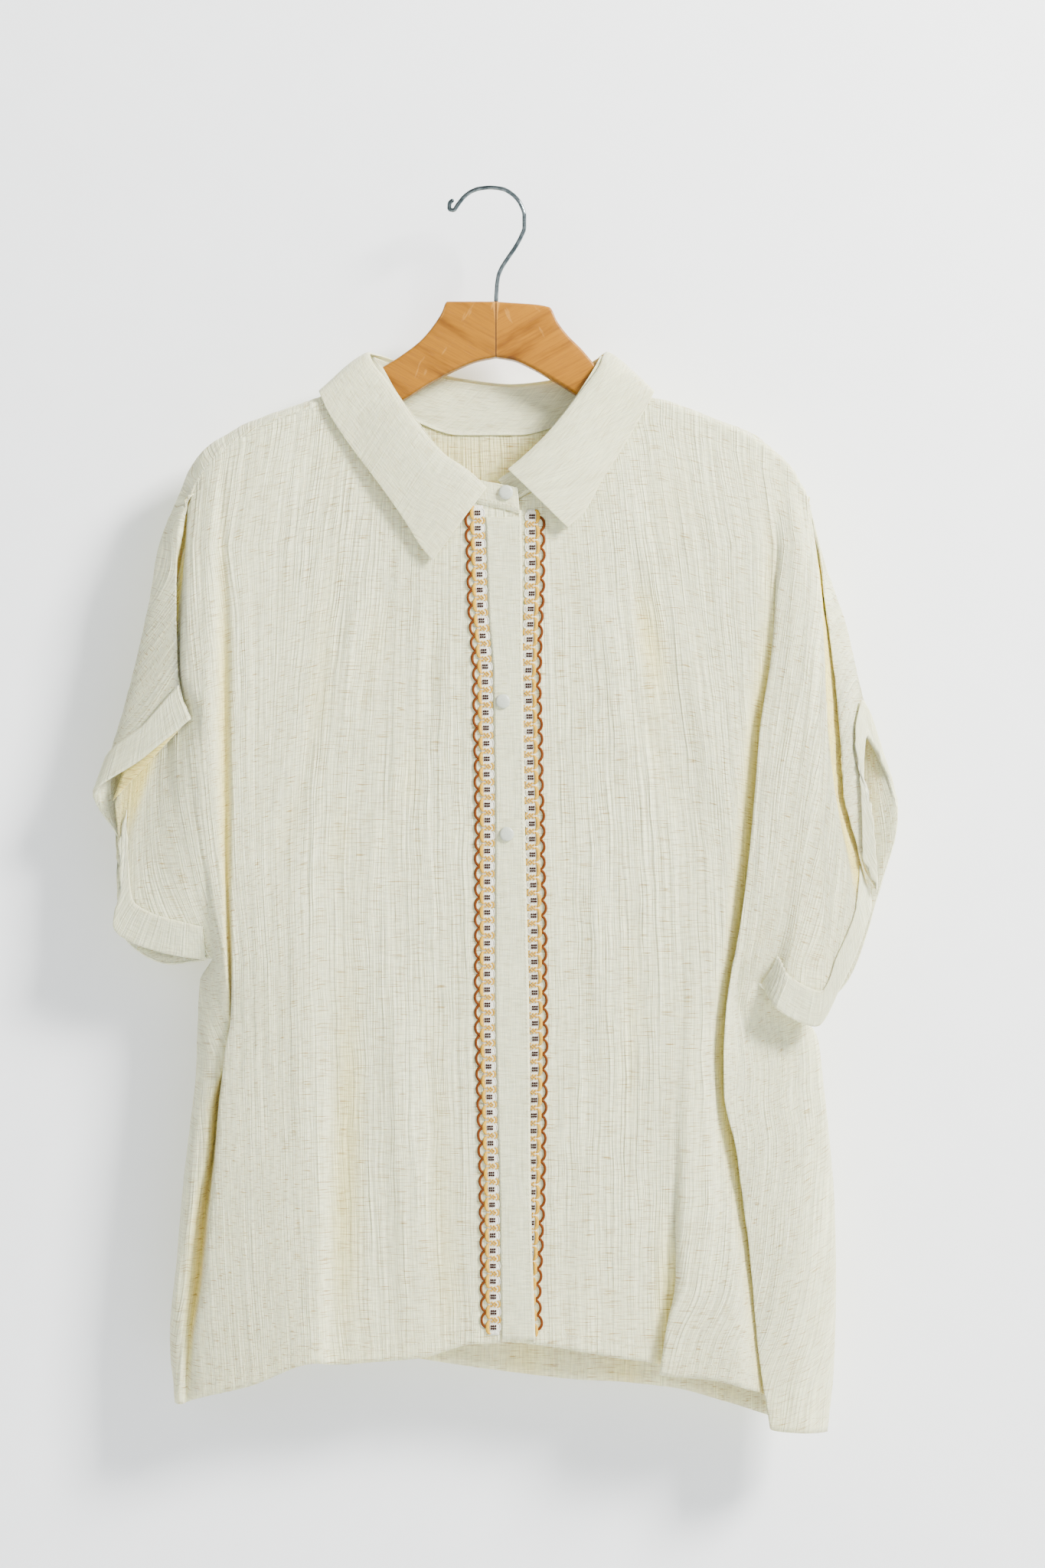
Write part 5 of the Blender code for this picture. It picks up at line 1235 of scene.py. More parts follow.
@dataclass
class SleeveCuff:
    """The turned-up end of a sleeve over one panel, from one fold to another."""

    name: str
    first: float
    last: float
    lift: float
    rows_up: int = 12
    wall: float = 0.7

    def build(self, grids: PanelGrids, material: bpy.types.Material) -> bpy.types.Object:
        """Make the cuff: it turns round the sleeve's edge in a half circle and lies on the sleeve.

        Formula: the grid moved out by the lift, farther where a column is a sharp fold; below it, the
        half circle's point is the edge plus half the lift times one minus cosine out and sine down.
        """
        low, high = sorted((self.first, self.last))
        inside = grids.places[(grids.places > low) & (grids.places < high)]
        shares = np.concatenate(([low], inside, [high]))
        if self.first > self.last:
            shares = shares[::-1]
        picked = np.stack([between(shares, grids.places, row) for row in grids.upper])
        sides = np.diff(picked, axis=1)
        sides /= np.maximum(np.linalg.norm(sides, axis=2, keepdims=True), 1e-9)
        before = np.concatenate((sides[:, :1], sides), axis=1)
        after = np.concatenate((sides, sides[:, -1:]), axis=1)
        out = np.cross(np.gradient(picked, axis=0) * DOWN_FLIP, (before + after) * DOWN_FLIP) * DOWN_FLIP
        out /= np.linalg.norm(out, axis=2, keepdims=True)
        bend = np.sum(before * after, axis=2, keepdims=True)
        out /= np.maximum(np.sqrt(np.clip((1.0 + bend) / 2.0, 0.0, 1.0)), 0.3)
        lifted = picked + out * self.lift
        at = CUFF_WIDTH * np.linspace(0.0, 1.0, self.rows_up)
        strip = np.stack([between(at, spots(picked[::-1, column]), lifted[::-1, column])
                          for column in range(len(shares))], axis=1)
        below = picked[-1] - picked[-3]
        below /= np.linalg.norm(below, axis=1, keepdims=True)
        lip = np.stack([picked[-1] + (strip[0] - picked[-1]) * (1.0 - math.cos(turn)) / 2.0
                        + below * self.lift * 0.5 * math.sin(turn) for turn in np.linspace(0.0, np.pi, 6)[:-1]])
        grid = np.concatenate((lip, strip))[::-1]
        down = measured(grid)[1]
        across = np.broadcast_to(np.interp(shares, grids.places, grids.flat_up[0][-1]), down.shape)
        return grid_piece(self.name + "_cloth", self.name, grid, material, self.wall, (across, down))


@dataclass(frozen=True)
class TrimLine:
    """Outer edge of a trim: distances down and places across."""

    down: tuple[float, ...]
    across: tuple[float, ...]


@dataclass
class BraidTrim:
    """Woven braid: a white ground, dark dots, yellow knots and scallops, and brown loops at the outer edge.

    Small picots stand at the inner edge: yellow ones ("waves") at the knots and white ones between.
    """

    name: str
    line: TrimLine
    side: float
    top: float
    repeats: int = 54
    pitch: float = 11.05
    width: float = 14.0
    seat: float = 0.45
    # Stitches of a knot, (out, on); and dots, (out, lean out, reach on).
    KNOT: ClassVar = ((4.9, 0.1), (3.7, 1.25), (3.8, -1.15), (6.1, 1.2), (6.0, -1.25), (2.6, 0.15))
    DOTS: ClassVar = ((3.6, 0.25, 1.0), (5.1, 0.9, 0.3), (6.5, 0.25, 1.0))

    def place(self, out: np.ndarray, on: np.ndarray, up: np.ndarray, depths: DepthMap) -> np.ndarray:
        """Turn places on the braid into points.

        Args:
            out: distance outwards from the braid's inner edge.
            on: distance down from its top.
            up: height above the cloth.
            depths: the panel's depths.
        """
        down = self.top + on
        edge = np.interp(down, self.line.down, self.line.across)
        across = edge - self.side * (self.width - out)
        return np.stack((across, depths.at(across, down) - self.seat - up, down), axis=-1)

    def repeated(self, out: np.ndarray, on: np.ndarray, up: np.ndarray, depths: DepthMap,
                 uneven: float = 0.0) -> np.ndarray:
        """Place a shape once in every repeat, each a little different."""
        k = np.arange(self.repeats - int(on.mean() > self.pitch * 0.75), dtype=float)
        shape = (len(k),) + (1,) * out.ndim
        drift = (soft_noise(k * 1.7, k * 0.0, self.side + 2.0) - 0.5).reshape(shape) * uneven
        sway = (soft_noise(k * 2.3, k * 0.0 + 5.0, self.side + 4.0) - 0.5).reshape(shape) * uneven
        return self.place(out[None] + sway, on[None] + (k * self.pitch).reshape(shape) + drift,
                          np.broadcast_to(up[None], (len(k),) + out.shape), depths)

    def build(self, depths: DepthMap, white: bpy.types.Material, dark: bpy.types.Material,
              yellow: bpy.types.Material, brown: bpy.types.Material) -> list[bpy.types.Object]:
        """Make the braid's pieces."""
        on = np.linspace(0.0, self.repeats * self.pitch, self.repeats * 6 + 1)
        beat = np.cos(2.0 * np.pi * on / self.pitch)
        inner = 0.9 + 0.35 * beat
        outer = 8.9 + 0.3 * beat
        share = np.linspace(0.0, 1.0, 7)[None, :]
        out = inner[:, None] + (outer - inner)[:, None] * share
        up = 0.35 + 0.16 * np.sin(np.pi * share) + 0.05 * beat[:, None] * np.sin(np.pi * share * 3.0)
        grid = self.place(out, np.broadcast_to(on[:, None], out.shape), up, depths)
        faces = quads(numbered(grid))[:, ::-1 if self.side > 0 else 1]
        made = [new_piece(self.name + "_ground", grid, faces, white)]
        add_wall(made[0], 0.4)
        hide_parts(self.name)
        a = np.pi * np.linspace(0.0, 1.0, 13)
        arc, way = np.sin(a), np.cos(a)
        bow = arc ** 0.8
        short, long = np.linspace(-0.7, 0.7, 5), np.linspace(-0.75, 0.75, 5)
        knots = [self.repeated(out + long * 0.8, self.pitch + on + long * 0.5, 0.85 + 0.22 * np.cos(long * 2.0),
                               depths, 0.3) for out, on in self.KNOT]
        dots = [self.repeated(out + short * lean, on + short * reach, 0.95 + 0.2 * np.cos(short * 2.4),
                              depths, 0.3) for out, lean, reach in self.DOTS for on in (4.6, 6.5)]
        for part, lines, radius, sides, flat, yarn in (
                ("loops", self.repeated(8.3 + 5.5 * bow, self.pitch - 5.5 * way, 0.5 + 0.35 * arc, depths, 0.5),
                 0.95, 8, 1.0, brown),
                ("scallops", self.repeated(7.1 + 2.3 * arc ** 0.7, 5.5 - 4.6 * way, 0.75 + 0.3 * arc, depths, 0.3),
                 0.5 + 0.95 * bow, 8, 0.55, yellow),
                ("waves", self.repeated(2.3 - 1.9 * bow, self.pitch - 2.1 * way, 0.5 + 0.15 * arc, depths, 0.4),
                 0.6, 6, 0.8, yellow),
                ("picots", self.repeated(1.5 - 1.5 * bow, 5.5 - 2.6 * way, 0.4 + 0.1 * arc, depths, 0.3),
                 0.5, 6, 1.0, white),
                ("knots", np.concatenate(knots), np.array([0.4, 0.8, 0.95, 0.8, 0.4]), 6, 0.8, yellow),
                ("dots", np.concatenate(dots), np.array([0.3, 0.7, 0.8, 0.7, 0.3]), 6, 0.8, dark)):
            made.append(closed_piece(f"{self.name}_{part}", *tubes(lines, radius, sides, flat), yarn, "trim_yarn"))
        return made


@dataclass(frozen=True)
class Station:
    """Two points, (down, across, depth), of a band that runs round the neck: its edges there."""

    inner: tuple[float, float, float]
    outer: tuple[float, float, float]


@dataclass
class NeckBand:
    """A fused band round the neck, such as the collar or its stand."""

    name: str
    stations: tuple[Station, ...]
    bulge: float
    wall: float
    seed: float
    steps: int = 10
    rows: int = 26
    lap: float = 0.0

    def grid(self) -> np.ndarray:
        """Return the band's points.

        Formula: both edges are smooth lines through the stations; a point lies between them by its
        share, moved out by the bulge times the sine of the share's 0.6th power, and by soft noise.
        """
        shares = finer_places(len(self.stations), self.steps)
        lines = []
        for edge in ("inner", "outer"):
            line = np.array([getattr(station, edge) for station in self.stations], dtype=float)[:, (1, 2, 0)]
            stops = spots(line)
            lines.append(smooth_curve(stops, line, along(stops, shares)))
        steps = np.linspace(0.0, 1.0, self.rows)
        grid = lines[0][None] * (1.0 - steps)[:, None, None] + lines[1][None] * steps[:, None, None]
        u, v = measured(grid)
        height = self.bulge * np.sin(np.pi * steps ** 0.6)[:, None]
        height = height + 0.5 * (soft_noise(u / 26.0, v / 18.0, self.seed) - 0.5) * np.sin(np.pi * steps)[:, None]
        grid = grid - normals(grid) * height[..., None]
        if self.lap:
            below = grid[-1] - grid[-2]
            below /= np.linalg.norm(below, axis=1, keepdims=True)
            inside = normals(grid)[-1]
            grid = np.concatenate((grid, [grid[-1] + below * self.lap * share + inside * sunk
                                          for share, sunk in ((0.35, 0.5), (0.6, 1.0), (1.0, 1.25))]))
        return grid

    def build(self, material: bpy.types.Material) -> bpy.types.Object:
        """Make the band."""
        made = grid_piece(self.name + "_cloth", self.name, self.grid(), material, self.wall)
        rim = made.modifiers.new("Rim", "BEVEL")
        rim.width = 0.3 * MM
        rim.segments = 2
        rim.limit_method = "ANGLE"
        rim.angle_limit = math.radians(60.0)
        return made


@dataclass(frozen=True)
class Button:
    """A button's distance down and place across; its depth is that of its CAD node."""

    name: str
    down: float
    across: float


@dataclass
class ButtonSet:
    """Milky, slightly domed buttons."""

    buttons: tuple[Button, ...]
    sides: int = 40
    # Radius and height, from the middle of the face to the middle of the back.
    PROFILE: ClassVar = ((0.0, 2.2), (1.5, 2.18), (2.8, 2.1), (3.8, 1.95), (4.4, 1.76), (4.85, 1.48), (5.12, 1.12),
                         (5.27, 0.75), (5.3, 0.45), (5.2, 0.2), (4.9, 0.04), (4.2, 0.0), (0.0, 0.0))

    def build(self, material: bpy.types.Material) -> None:
        """Make the buttons.

        Formula: a profile of radius and height is turned about the button's axis; the face is a low
        dome that falls steeply at the edge.
        """
        turn = np.linspace(0.0, 2.0 * np.pi, self.sides, endpoint=False)
        last = (len(self.PROFILE) - 2) * self.sides + 1
        index = np.arange(1, last).reshape(-1, self.sides)
        after = np.roll(index, -1, axis=1)
        faces = around(index)
        faces += [[0, int(j), int(i)] for i, j in zip(index[0], after[0])]
        faces += [[last, int(i), int(j)] for i, j in zip(index[-1], after[-1])]
        for button in self.buttons:
            low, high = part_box(button.name)
            front, back = low[1] / MM, high[1] / MM
            scale = (back - front) / self.PROFILE[0][1]
            points = [(button.across, front, button.down)]
            for r, h in self.PROFILE[1:-1]:
                points += [(button.across + r * math.cos(a), back - h * scale, button.down + r * math.sin(a))
                           for a in turn]
            points.append((button.across, back, button.down))
            made = closed_piece(button.name + "_turned", np.array(points), faces, material, "button_shell")
            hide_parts(button.name)


@dataclass
class HangerHalf:
    """One half of the wooden hanger, from the joint to the arm's tip."""

    name: str
    top: tuple[tuple[float, float], ...]
    under: tuple[tuple[float, float], ...]
    joint: float
    thickness: float = 14.0
    edge: float = 2.8
    sections: int = 170

    def build(self, material: bpy.types.Material) -> bpy.types.Object:
        """Make the half.

        Formula: at each share of the arm's length a rounded rectangle spans from the top line to the
        under one; its corners are quarter circles. The sections next to the joint and the tip are
        smaller by one minus the cosine of a quarter turn.
        """
        shares = np.concatenate(([0.0, 0.0, 0.0], np.linspace(0.0, 1.0, self.sections), [1.0, 1.0]))
        inset = np.concatenate(([0.9, 0.45, 0.12], np.zeros(self.sections), [0.7, 1.6]))
        shift = np.array([0.4, 0.6])
        lines = []
        for table in (self.top, self.under):
            rows = np.array([(across, 0.0, down) for down, across in table])
            rows[0, 0] = self.joint
            stops = spots(rows)
            lines.append(smooth_curve(stops, rows, shares * stops[-1]))
        span = lines[0] - lines[1]
        width = np.linalg.norm(span, axis=1)
        up = span / width[:, None]
        middle = (lines[0] + lines[1]) / 2.0
        ahead = np.gradient(middle, axis=0)
        ahead /= np.maximum(np.linalg.norm(ahead, axis=1, keepdims=True), 1e-9)
        middle[-2:] += ahead[-4] * shift[:, None]
        half_wide = width / 2.0 - inset
        half_deep = self.thickness / 2.0 - inset
        radius = np.minimum(self.edge, half_wide * 0.8)
        ring = []
        for corner, (sx, sy) in enumerate(((1, 1), (-1, 1), (-1, -1), (1, -1))):
            flat_wide, flat_deep = sx * (half_wide - radius), sy * (half_deep - radius)
            places = [(flat_wide + radius * math.cos(turn), flat_deep + radius * math.sin(turn))
                      for turn in np.linspace(0.0, np.pi / 2.0, 6) + corner * np.pi / 2.0]
            if corner in (0, 2):
                places += [(flat_wide * (1.0 - 2.0 * share), sy * half_deep) for share in (0.25, 0.5, 0.75)]
            ring += [middle + up * wide[:, None] + np.array([0.0, 1.0, 0.0]) * deep[:, None]
                     for wide, deep in places]
        points = np.stack(ring, axis=1)
        index = numbered(points)
        faces = around(index) + [index[0][::-1].tolist(), index[-1].tolist()]
        made = closed_piece(self.name + "_wood", points, faces, material, "hanger_wood")
        made.data.set_sharp_from_angle(angle=math.radians(40.0))
        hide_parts(self.name)
        return made


@dataclass
class WireHook:
    """The bent wire hook with its rounded tip."""

    line: tuple[tuple[float, float], ...]
    radius: float = 1.5

    def build(self, material: bpy.types.Material) -> bpy.types.Object:
        """Make the hook: a ring carried along the smooth line, narrowing to the tip as a ball does."""
        rows = np.array([(across, 0.0, down) for down, across in self.line])
        stops = spots(rows)
        at = np.concatenate((np.array([0.0, 0.12, 0.4, 0.8, 1.2]), np.arange(1.8, stops[-1], 1.0), [stops[-1]]))
        fine = smooth_curve(stops, rows, at)
        wide = self.radius * np.sqrt(np.clip(1.0 - (1.0 - np.clip(at / 1.5, 0.03, 1.0)) ** 2, 0.0, 1.0))
        points, faces = tubes(fine[None], wide, 20)
        made = closed_piece("hanger_hook_wire", points, faces, material, "hook_chrome")
        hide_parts("hanger_hook")
        return made


# Collar, along the neck: the roll line, where it folds, and its outer edge.
COLLAR = (
    Station((219, -2, -26), (271.5, -41, -26.5)),
    Station((207, -15, -26.5), (262, -49, -26.3)),
    Station((194.6, -33, -25.5), (243, -61, -25.2)),
    Station((171, -53, -22.5), (213, -82, -22.8)),
    Station((143.4, -72, -15), (182, -105, -17)),
    Station((126, -85.2, -9), (160, -118.5, -14)),
    Station((121, -87, -4.4), (149.5, -123, -11)),
    Station((118.5, -87.5, 1), (146.8, -124, 0)),
    Station((119, -82, 8), (149, -118, 11.5)),
    Station((127, -55, 16), (170, -75, 18)),
    Station((135, -20, 18), (180, -28, 20)),
    Station((139, 15, 18.2), (181, 18, 20)),
    Station((136, 45, 17), (176, 55, 19.5)),
    Station((126, 72, 12.5), (163, 92, 16.5)),
    Station((119.5, 81, 8), (149, 113.5, 11.5)),
    Station((118, 84, 2), (146.8, 119, 1)),
    Station((122, 82, -4), (149, 118.5, -10.8)),
    Station((128, 80, -10), (157, 114.5, -14)),
    Station((150, 65, -18), (187, 97.5, -18.5)),
    Station((176, 45, -24), (215, 80, -23)),
    Station((196, 25, -26), (238, 67, -25.5)),
    Station((206, 13, -26.5), (248, 56, -26.5)),
)

# Collar stand, from the buttoned end on top to the end under it: upper and lower edge.
COLLAR_STAND = (
    Station((219, 20, -24.6), (235, 21.5, -24.8)),
    Station((216.5, 8, -24.4), (231, 7, -24.4)),
    Station((213, -8, -23.6), (227.4, -9, -23.6)),
    Station((196, -31, -22.6), (219.5, -26, -23)),
    Station((173, -50, -19.5), (203, -49, -21)),
    Station((146, -69, -12.5), (172, -77, -16.6)),
    Station((129.5, -78.3, -9), (147, -92, -12)),
    Station((122, -84, 1), (139.5, -100, 0.5)),
    Station((122.5, -81, 6), (141, -96, 9.4)),
    Station((125, -72, 10.5), (152.5, -79, 12)),
    Station((131, -53, 13.5), (163.2, -58, 13.5)),
    Station((138, -20, 15.4), (174.8, -22, 14.5)),
    Station((141.5, 15, 15.6), (174.8, 20, 14.5)),
    Station((139, 43, 14.4), (164.5, 57, 13.5)),
    Station((129, 66, 11), (154, 76, 12)),
    Station((123, 76.5, 6), (140, 94, 9.4)),
    Station((121, 80.5, 1), (139.5, 97.5, 1)),
    Station((130, 76, -9.6), (146, 90, -12)),
    Station((153, 61.5, -15.5), (170, 75, -14.6)),
    Station((178, 42.5, -20.4), (193, 55, -17.4)),
    Station((201, 22, -20.8), (211, 40, -18.3)),
    Station((213, 6, -21), (226, 18, -19)),
)

TRIM_RIGHT_LINE = TrimLine((226, 305, 349, 441, 597, 733, 833), (-18, -15.6, -12.2, -10.6, -10.6, -7.2, -6))
TRIM_LEFT_LINE = TrimLine((232, 283, 356, 437, 518, 618, 733, 804, 833),
                          (39.5, 39.5, 36.7, 38.7, 40.6, 41.7, 39.5, 36.6, 38.6))
TRIM_TOP_RIGHT = 231.5
TRIM_TOP_LEFT = 234.0
BUTTONS = (
    Button("button_collar", 222.5, 11.7), Button("button_2", 282.5, 19.0), Button("button_3", 372.5, 9.5),
    Button("button_4", 468.0, 12.3), Button("button_5", 568.0, 19.5), Button("button_6", 666.0, 20.5),
)

# Hanger halves from the joint to the tip, and the hook from its tip: (down, across) along each line.
HANGER_RIGHT_TOP = (
    (82.0, 4.1), (82.0, -31), (90, -35), (98, -40), (110, -50), (122, -65.6), (131, -79.5), (152, -98),
    (160.5, -122), (167.5, -143), (184.5, -180), (198, -200), (210, -206))
HANGER_RIGHT_UNDER = (
    (122.3, 4.1), (125, -9), (131, -24), (142, -45), (153.5, -63), (169, -97), (187, -136), (209, -175),
    (219, -197), (217, -205))
HANGER_LEFT_TOP = (
    (82.0, 4.7), (86, 43), (96.7, 49), (106, 56), (116.8, 66.7), (126.8, 75), (137, 82), (153.5, 98),
    (161, 119), (174, 155), (187, 190), (202, 209), (211, 217))
HANGER_LEFT_UNDER = (
    (122.3, 4.7), (124.5, 17), (130, 29.5), (142, 50.6), (151, 65), (170, 98), (190, 142), (211, 190),
    (220, 208), (219, 215))
HOOK_WIRE = (
    (7.0, -26.5), (10.5, -29.5), (14.0, -29.6), (15.0, -26.8), (10.6, -23.2), (5.2, -18.8), (1.4, -13.6),
    (-0.7, -8.0), (-1.5, 0.0), (-0.6, 8.6), (3.6, 16.4), (10.6, 22.2), (19.0, 24.9), (27.4, 24.9),
    (34.0, 22.6), (41.4, 18.6), (50.0, 12.8), (57.0, 8.4), (63.0, 6.0), (70.0, 5.0), (76.0, 4.6),
    (81.5, 4.4))


@dataclass
class Shirt:
    """The linen shirt: its panels, cuffs, collar, band, trims, buttons, label and sewing."""

    loose: bpy.types.Material
    turned: bpy.types.Material
    fused: bpy.types.Material
    thread: bpy.types.Material
    wall: float = 1.05

    # The back's inside at the throat is warm too: half its width, how far down it goes, and its share.
    THROAT_SHADE: ClassVar = (78.0, 300.0, 0.3)
    # How far a neighbour stands before a panel's edge where it turns, and the band's gaps.
    NEIGHBOUR: ClassVar = 12.0
    BAND_FROM_TRIM_EDGE: ClassVar = 14.75
    BAND_FROM_FREE_EDGE: ClassVar = 0.3

    def panel(self, panel: Panel) -> PanelGrids:
        """Make one panel, hung from the wood."""
        grids = panel.whole()
        points, faces, place = grids.mesh()
        up, low = grids.hollow(tuple(self.NEIGHBOUR * bool(turn) for turn in panel.turns))
        hollow = np.concatenate((up.ravel(), low[1:].ravel()))
        # Painted shade: the back's inside below the neck, which lies in shade, takes part of the painted fold
        # shade.
        if panel.name == "back":
            wide, deep, share = self.THROAT_SHADE
            near = np.clip((wide - np.abs(points[:, 0])) / 10.0, 0.0, 1.0)
            near *= np.clip((deep - points[:, 2]) / 30.0, 0.0, 1.0)
            hollow = np.maximum(hollow, near * share)
        LOG.info("panel %s: %d points, %.0f mm of cloth across", panel.name, len(points), np.ptp(place[:, 0]))
        made = new_piece(panel.name + "_cloth", points, faces, self.loose, place, hollow)
        add_wall(made, self.wall)
        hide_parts(panel.name)
        return grids

    def build(self) -> None:
        """Make every piece of the shirt, in order."""
        right_front = Panel("front_right", FRONT_RIGHT_CUFF + FRONT_RIGHT_BODY, (4, 15), UNDERARM_RIGHT,
                            (-1.0, 0.0), (15, 13), 15.0, 1.0, 1.0, creases=RIGHT_FRONT_CREASES, calm=30.0)
        left_front = Panel("front_left", FRONT_LEFT_BODY + FRONT_LEFT_CUFF, (0, 13), UNDERARM_LEFT,
                           (0.0, 1.0), (16, 13), 0.0, 2.0, 1.0, creases=LEFT_FRONT_CREASES, calm=30.0)
        back = Panel("back", BACK_RIGHT_CUFF + BACK_BODY + BACK_LEFT_CUFF, (7, 22),
                     0.5 * (UNDERARM_RIGHT + UNDERARM_LEFT), (1.0, -1.0), (17, 10), 14.0, 3.0, -1.0,
                     2.95, (6, 6), BACK_CREASES)
        for rail, level in ((7, UNDERARM_RIGHT), (21, UNDERARM_LEFT), (22, UNDERARM_LEFT)):
            back.splits[rail] = back.rails[rail].share_at(level)
        grids = {panel.name: self.panel(panel) for panel in (right_front, left_front, back)}
        cuffs = {
            "front_right": [SleeveCuff("cuff_right_front", 0.5, 3.85, 1.7)],
            "front_left": [SleeveCuff("cuff_left_front", 13.2, 18.0, 1.7)],
            "back": [SleeveCuff("cuff_right_back", 6.8, 1.0, 2.6), SleeveCuff("cuff_left_back", 29.0, 22.16, 3.3)]}
        made_cuffs = {name: [cuff.build(grids[name], self.turned) for cuff in ends]
                      for name, ends in cuffs.items()}
        collar = NeckBand("collar", COLLAR, 2.2, 1.3, 5.0).build(self.fused)
        stand = NeckBand("collar_stand", COLLAR_STAND, 0.0, 1.3, 6.0, 8, 14, 2.4).build(self.fused)
        right_depths, left_depths = DepthMap(grids["front_right"]), DepthMap(grids["front_left"])
        band = self.band(right_depths, right_front)
        yarns = [Yarn("trim_" + name, colour, plies).material() for name, colour, plies in (
            ("white", (0.80, 0.785, 0.65), 1800.0), ("dark", (0.03, 0.007, 0.004), 1800.0),
            ("yellow", (0.60, 0.34, 0.03), 1600.0), ("brown", (0.13, 0.032, 0.003), 1300.0))]
        trim_right = BraidTrim("trim_right", TRIM_RIGHT_LINE, -1.0, TRIM_TOP_RIGHT)
        trim_left = BraidTrim("trim_left", TRIM_LEFT_LINE, 1.0, TRIM_TOP_LEFT)
        trims = {"front_right": trim_right.build(right_depths, *yarns),
                 "front_left": trim_left.build(left_depths, *yarns)}
        ButtonSet(BUTTONS).build(Shell("button_milk", (0.47, 0.50, 0.41), 0.3).material())
        label = self.label(left_front)
        hems = self.sewing(grids, right_depths, right_front)

    def band_edges(self, front: Panel, down: np.ndarray) -> tuple[np.ndarray, np.ndarray]:
        """Return the places across of the band's edge beside the trim and of that at the free edge."""
        rail = front.rails[-1].points(np.linspace(0.0, 1.0, 200))
        inner = np.interp(down, TRIM_RIGHT_LINE.down, TRIM_RIGHT_LINE.across) + self.BAND_FROM_TRIM_EDGE
        return inner, np.interp(down, rail[:, 2], rail[:, 0]) - self.BAND_FROM_FREE_EDGE

    def band(self, depths: DepthMap, front: Panel) -> bpy.types.Object:
        """Make the fused band between the trim and the free edge.

        Formula: a flat grid between the two lines, laid on the front, with soft puckers of noise.
        """
        down = np.linspace(240.0, 831.5, 180)
        inner, outer = self.band_edges(front, down)
        share = np.linspace(0.0, 1.0, 16)[None, :]
        across = inner[:, None] * (1.0 - share) + outer[:, None] * share
        level = np.broadcast_to(down[:, None], across.shape)
        pucker = 0.55 * (soft_noise(across / 9.0, level / 26.0, 11.0) - 0.35) * np.sin(np.pi * share) ** 0.5
        depth = depths.at(across, level) - 1.15 - pucker
        grid = np.stack((across, depth, level), axis=2)
        return grid_piece("button_band_cloth", "button_band", grid, self.fused, 0.8)

    def label(self, panel: Panel) -> bpy.types.Object:
        """Make the blank care label inside the left side."""
        shares = np.linspace(23.0 / 40.0, 27.0 / 40.0, 14)
        grid = panel.lower(np.linspace(10.8, 11.95, 12), shares)
        grid = grid - normals(grid) * 2.3
        satin = Shell("label_satin", (0.83, 0.82, 0.76), 0.5, 900.0).material()
        return grid_piece("care_label_tape", "care_label", grid, satin, 0.4)

    def sewing(self, grids: dict[str, PanelGrids], depths: DepthMap,
               front: Panel) -> dict[str, list[bpy.types.Object]]:
        """Sew the hems, the stand and the band's edges."""
        made: dict[str, list[bpy.types.Object]] = {"stand": []}
        for name, grid in grids.items():
            side = -1.0 if name == "back" else 1.0
            line = on_edge(grid.lower, PanelGrids.HEM)
            out = normals(grid.lower)[-8] * side
            made[name] = [stitches(f"hem_stitches_{name}", line + out * (self.wall / 2.0 + 0.22), out,
                                   self.thread, "linen")]
        down = np.arange(244.0, 828.0, 4.0)
        out = np.tile(np.array([[0.0, -1.0, 0.0]]), (len(down), 1))
        for key, edge, shift in zip(("inner", "outer"), self.band_edges(front, down), (1.4, -1.6)):
            line = np.stack((edge + shift, depths.at(edge + shift, down) - 1.62, down), axis=1)
            made["front_right"].append(stitches(f"band_stitches_{key}", line, out, self.thread, "linen"))
        stand = NeckBand("stand_line", COLLAR_STAND, 0.0, 1.3, 6.0, 8, 14).grid()
        out = -normals(stand)[-2]
        inside = stand[-2] + out * 0.75
        made["stand"].append(stitches("stand_stitches", inside, out, self.thread, "linen"))
        return made


@dataclass(frozen=True)
class Cut:
    """A piece's cut: width and length of the cloth that it comes from, and its own flat area."""

    flat: tuple[float, float]
    area: float


@dataclass
class Hanger:
    """The wooden hanger in two halves, with its wire hook."""

    def build(self) -> None:
        """Make the halves and the hook."""
        right = HangerHalf("hanger_right", HANGER_RIGHT_TOP, HANGER_RIGHT_UNDER, 4.36)
        left = HangerHalf("hanger_left", HANGER_LEFT_TOP, HANGER_LEFT_UNDER, 4.44)
        right.build(HoneyWood("wood_right", -0.5, 4.36).material())
        left.build(HoneyWood("wood_left", 0.5, 4.44, (0.33, 0.13, 0.004), (0.13, 0.04, 0.001)).material())
        WireHook(HOOK_WIRE).build(Chrome().material())


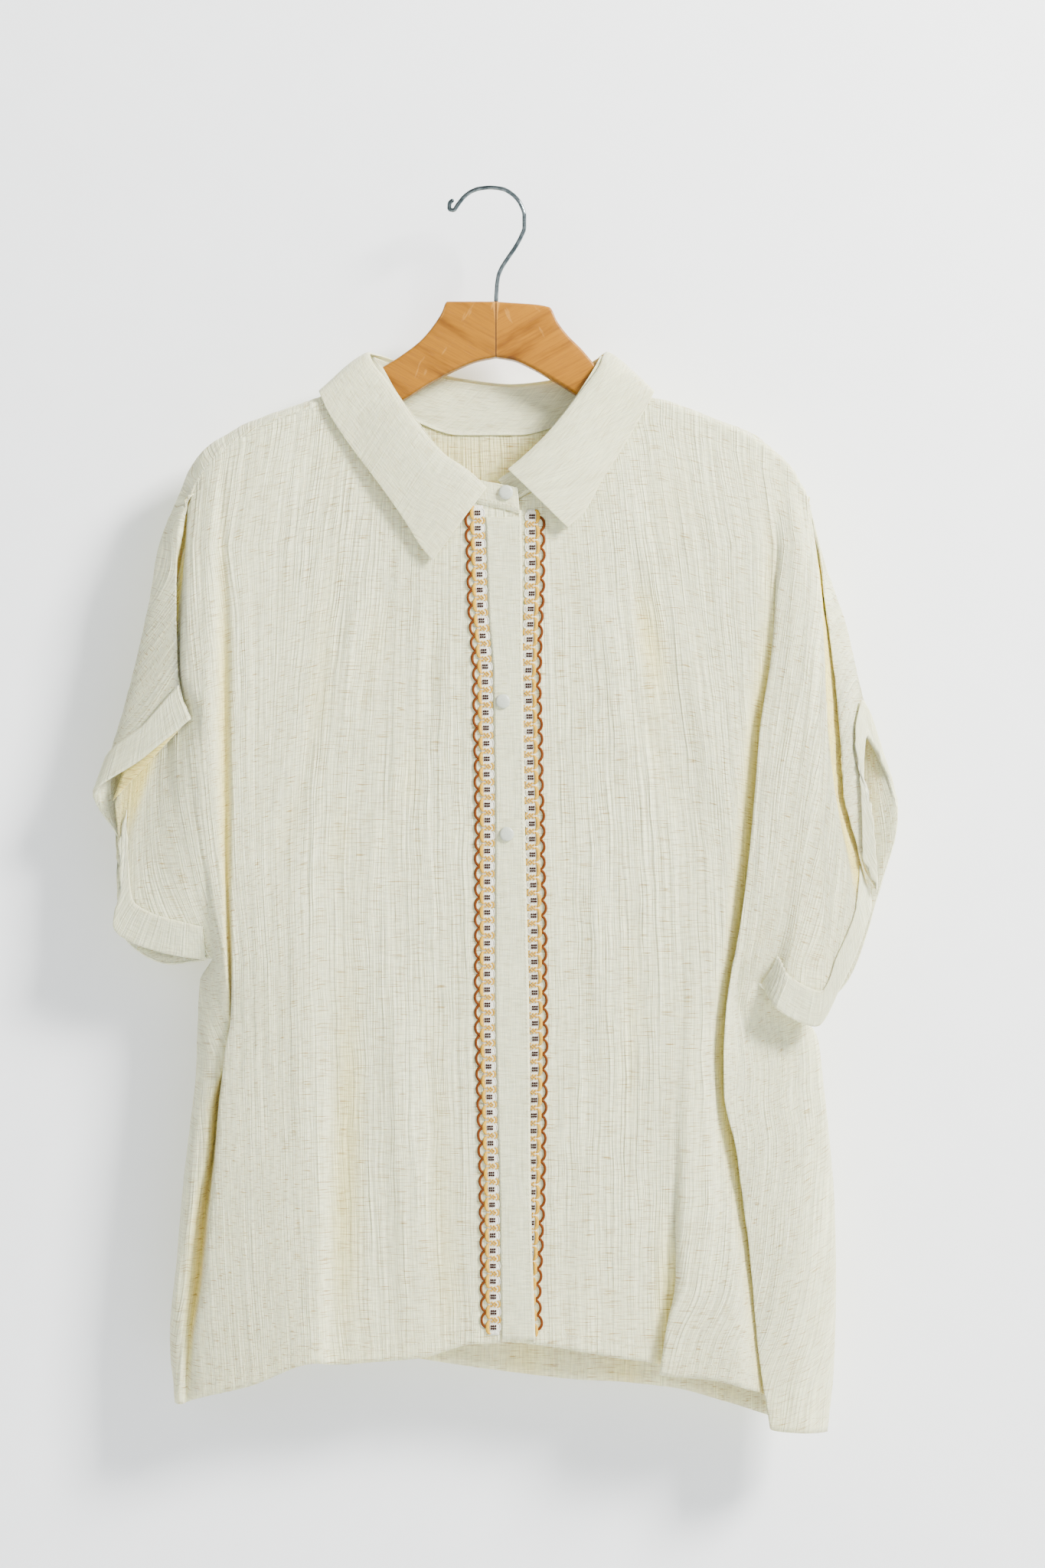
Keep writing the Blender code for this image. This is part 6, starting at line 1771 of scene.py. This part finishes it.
@dataclass
class Studio:
    """The white wall behind, the soft light and the camera."""

    wall_depth: float = 0.048
    camera_distance: float = 2.2
    camera_across: float = 0.0236
    camera_down: float = 0.432
    lens: float = 69.5
    # Where the lamps point: the middle of the shirt.
    AIM: ClassVar = (0.0, 0.0, -0.45)

    def build(self) -> None:
        """Make the wall, the floor far below, the lamps and the camera."""
        mesh = bpy.data.meshes.new("studio_wall")
        y, floor = self.wall_depth, -2.2
        bend = [(y, 3.2), (y, floor + 0.5), (y - 0.07, floor + 0.25), (y - 0.25, floor + 0.07),
                (y - 0.5, floor), (y - 5.0, floor)]
        points = [(x, depth, height) for depth, height in bend for x in (-4.0, 4.0)]
        faces = [(2 * k, 2 * k + 2, 2 * k + 3, 2 * k + 1) for k in range(len(bend) - 1)]
        mesh.from_pydata(points, [], faces)
        mesh.update()
        mesh.polygons.foreach_set("use_smooth", np.full(len(mesh.polygons), True))
        mesh.materials.append(Wall().material())
        wall = bpy.data.objects.new("studio_wall", mesh)
        bpy.context.scene.collection.objects.link(wall)
        wall.visible_shadow = False
        wall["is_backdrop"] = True
        self.lamp("key", (1.9, -1.5, 1.15), 0.7, 290.0, (1.0, 0.985, 0.95))
        self.lamp("fill", (-1.6, -3.0, 0.3), 2.4, 34.0, (0.96, 0.98, 1.0))
        self.lamp("behind", (0.6, 2.6, 0.9), 2.0, 160.0, (1.0, 1.0, 1.0))
        world = bpy.data.worlds.new("studio")
        world.use_nodes = True
        sky = Graph(world.node_tree)
        toward = sky.add("SeparateXYZ", {0: sky.add("TexCoord").outputs["Generated"]})
        side = sky.math("SUBTRACT", sky.times(toward.outputs[0], 0.8), sky.times(toward.outputs[2], 0.35))
        sky.feed(world.node_tree.nodes["Background"],
                 {0: rgb(0.95, 0.975, 1.0), 1: sky.spread(side, -0.6, 0.5, 0.36, 1.75)})
        bpy.context.scene.world = world
        camera = bpy.data.cameras.new("camera")
        camera.lens = self.lens
        camera.sensor_width = 36.0
        camera.clip_end = 50.0
        made = bpy.data.objects.new("camera", camera)
        made.location = (self.camera_across, -self.camera_distance, -self.camera_down)
        made.rotation_euler = (math.pi / 2.0, 0.0, 0.0)
        bpy.context.scene.collection.objects.link(made)
        bpy.context.scene.camera = made

    def lamp(self, name: str, place: tuple[float, float, float], size: float, power: float,
             colour: tuple[float, float, float]) -> None:
        """Hang one square area lamp that points at the shirt."""
        light = bpy.data.lights.new(name, "AREA")
        light.size = size
        light.energy = power
        light.color = colour
        made = bpy.data.objects.new(name, light)
        back = np.array(place) - np.array(self.AIM)
        back = back / np.linalg.norm(back)
        made.location = place
        made.rotation_euler = (math.acos(back[2]), 0.0, math.atan2(back[1], back[0]) + math.pi / 2.0)
        bpy.context.scene.collection.objects.link(made)


def main() -> None:
    """Build the shirt on its hanger and the studio."""
    logging.basicConfig(level=logging.INFO, format="%(name)s: %(message)s")
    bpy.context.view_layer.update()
    Studio().build()
    thread = Yarn("sewing_thread", (0.76, 0.73, 0.52), 2500.0).material()
    Hanger().build()
    shirt = Shirt(Linen("linen_gauze", Weave.CRINKLED).material(), Linen("linen_cuff", Weave.TURNED).material(),
                  Linen("linen_fused", Weave.FUSED).material(), thread)
    shirt.build()
    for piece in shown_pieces():
        LOG.info("piece %s: %d faces", piece.name, len(piece.data.polygons))


if __name__ == "__main__":
    main()
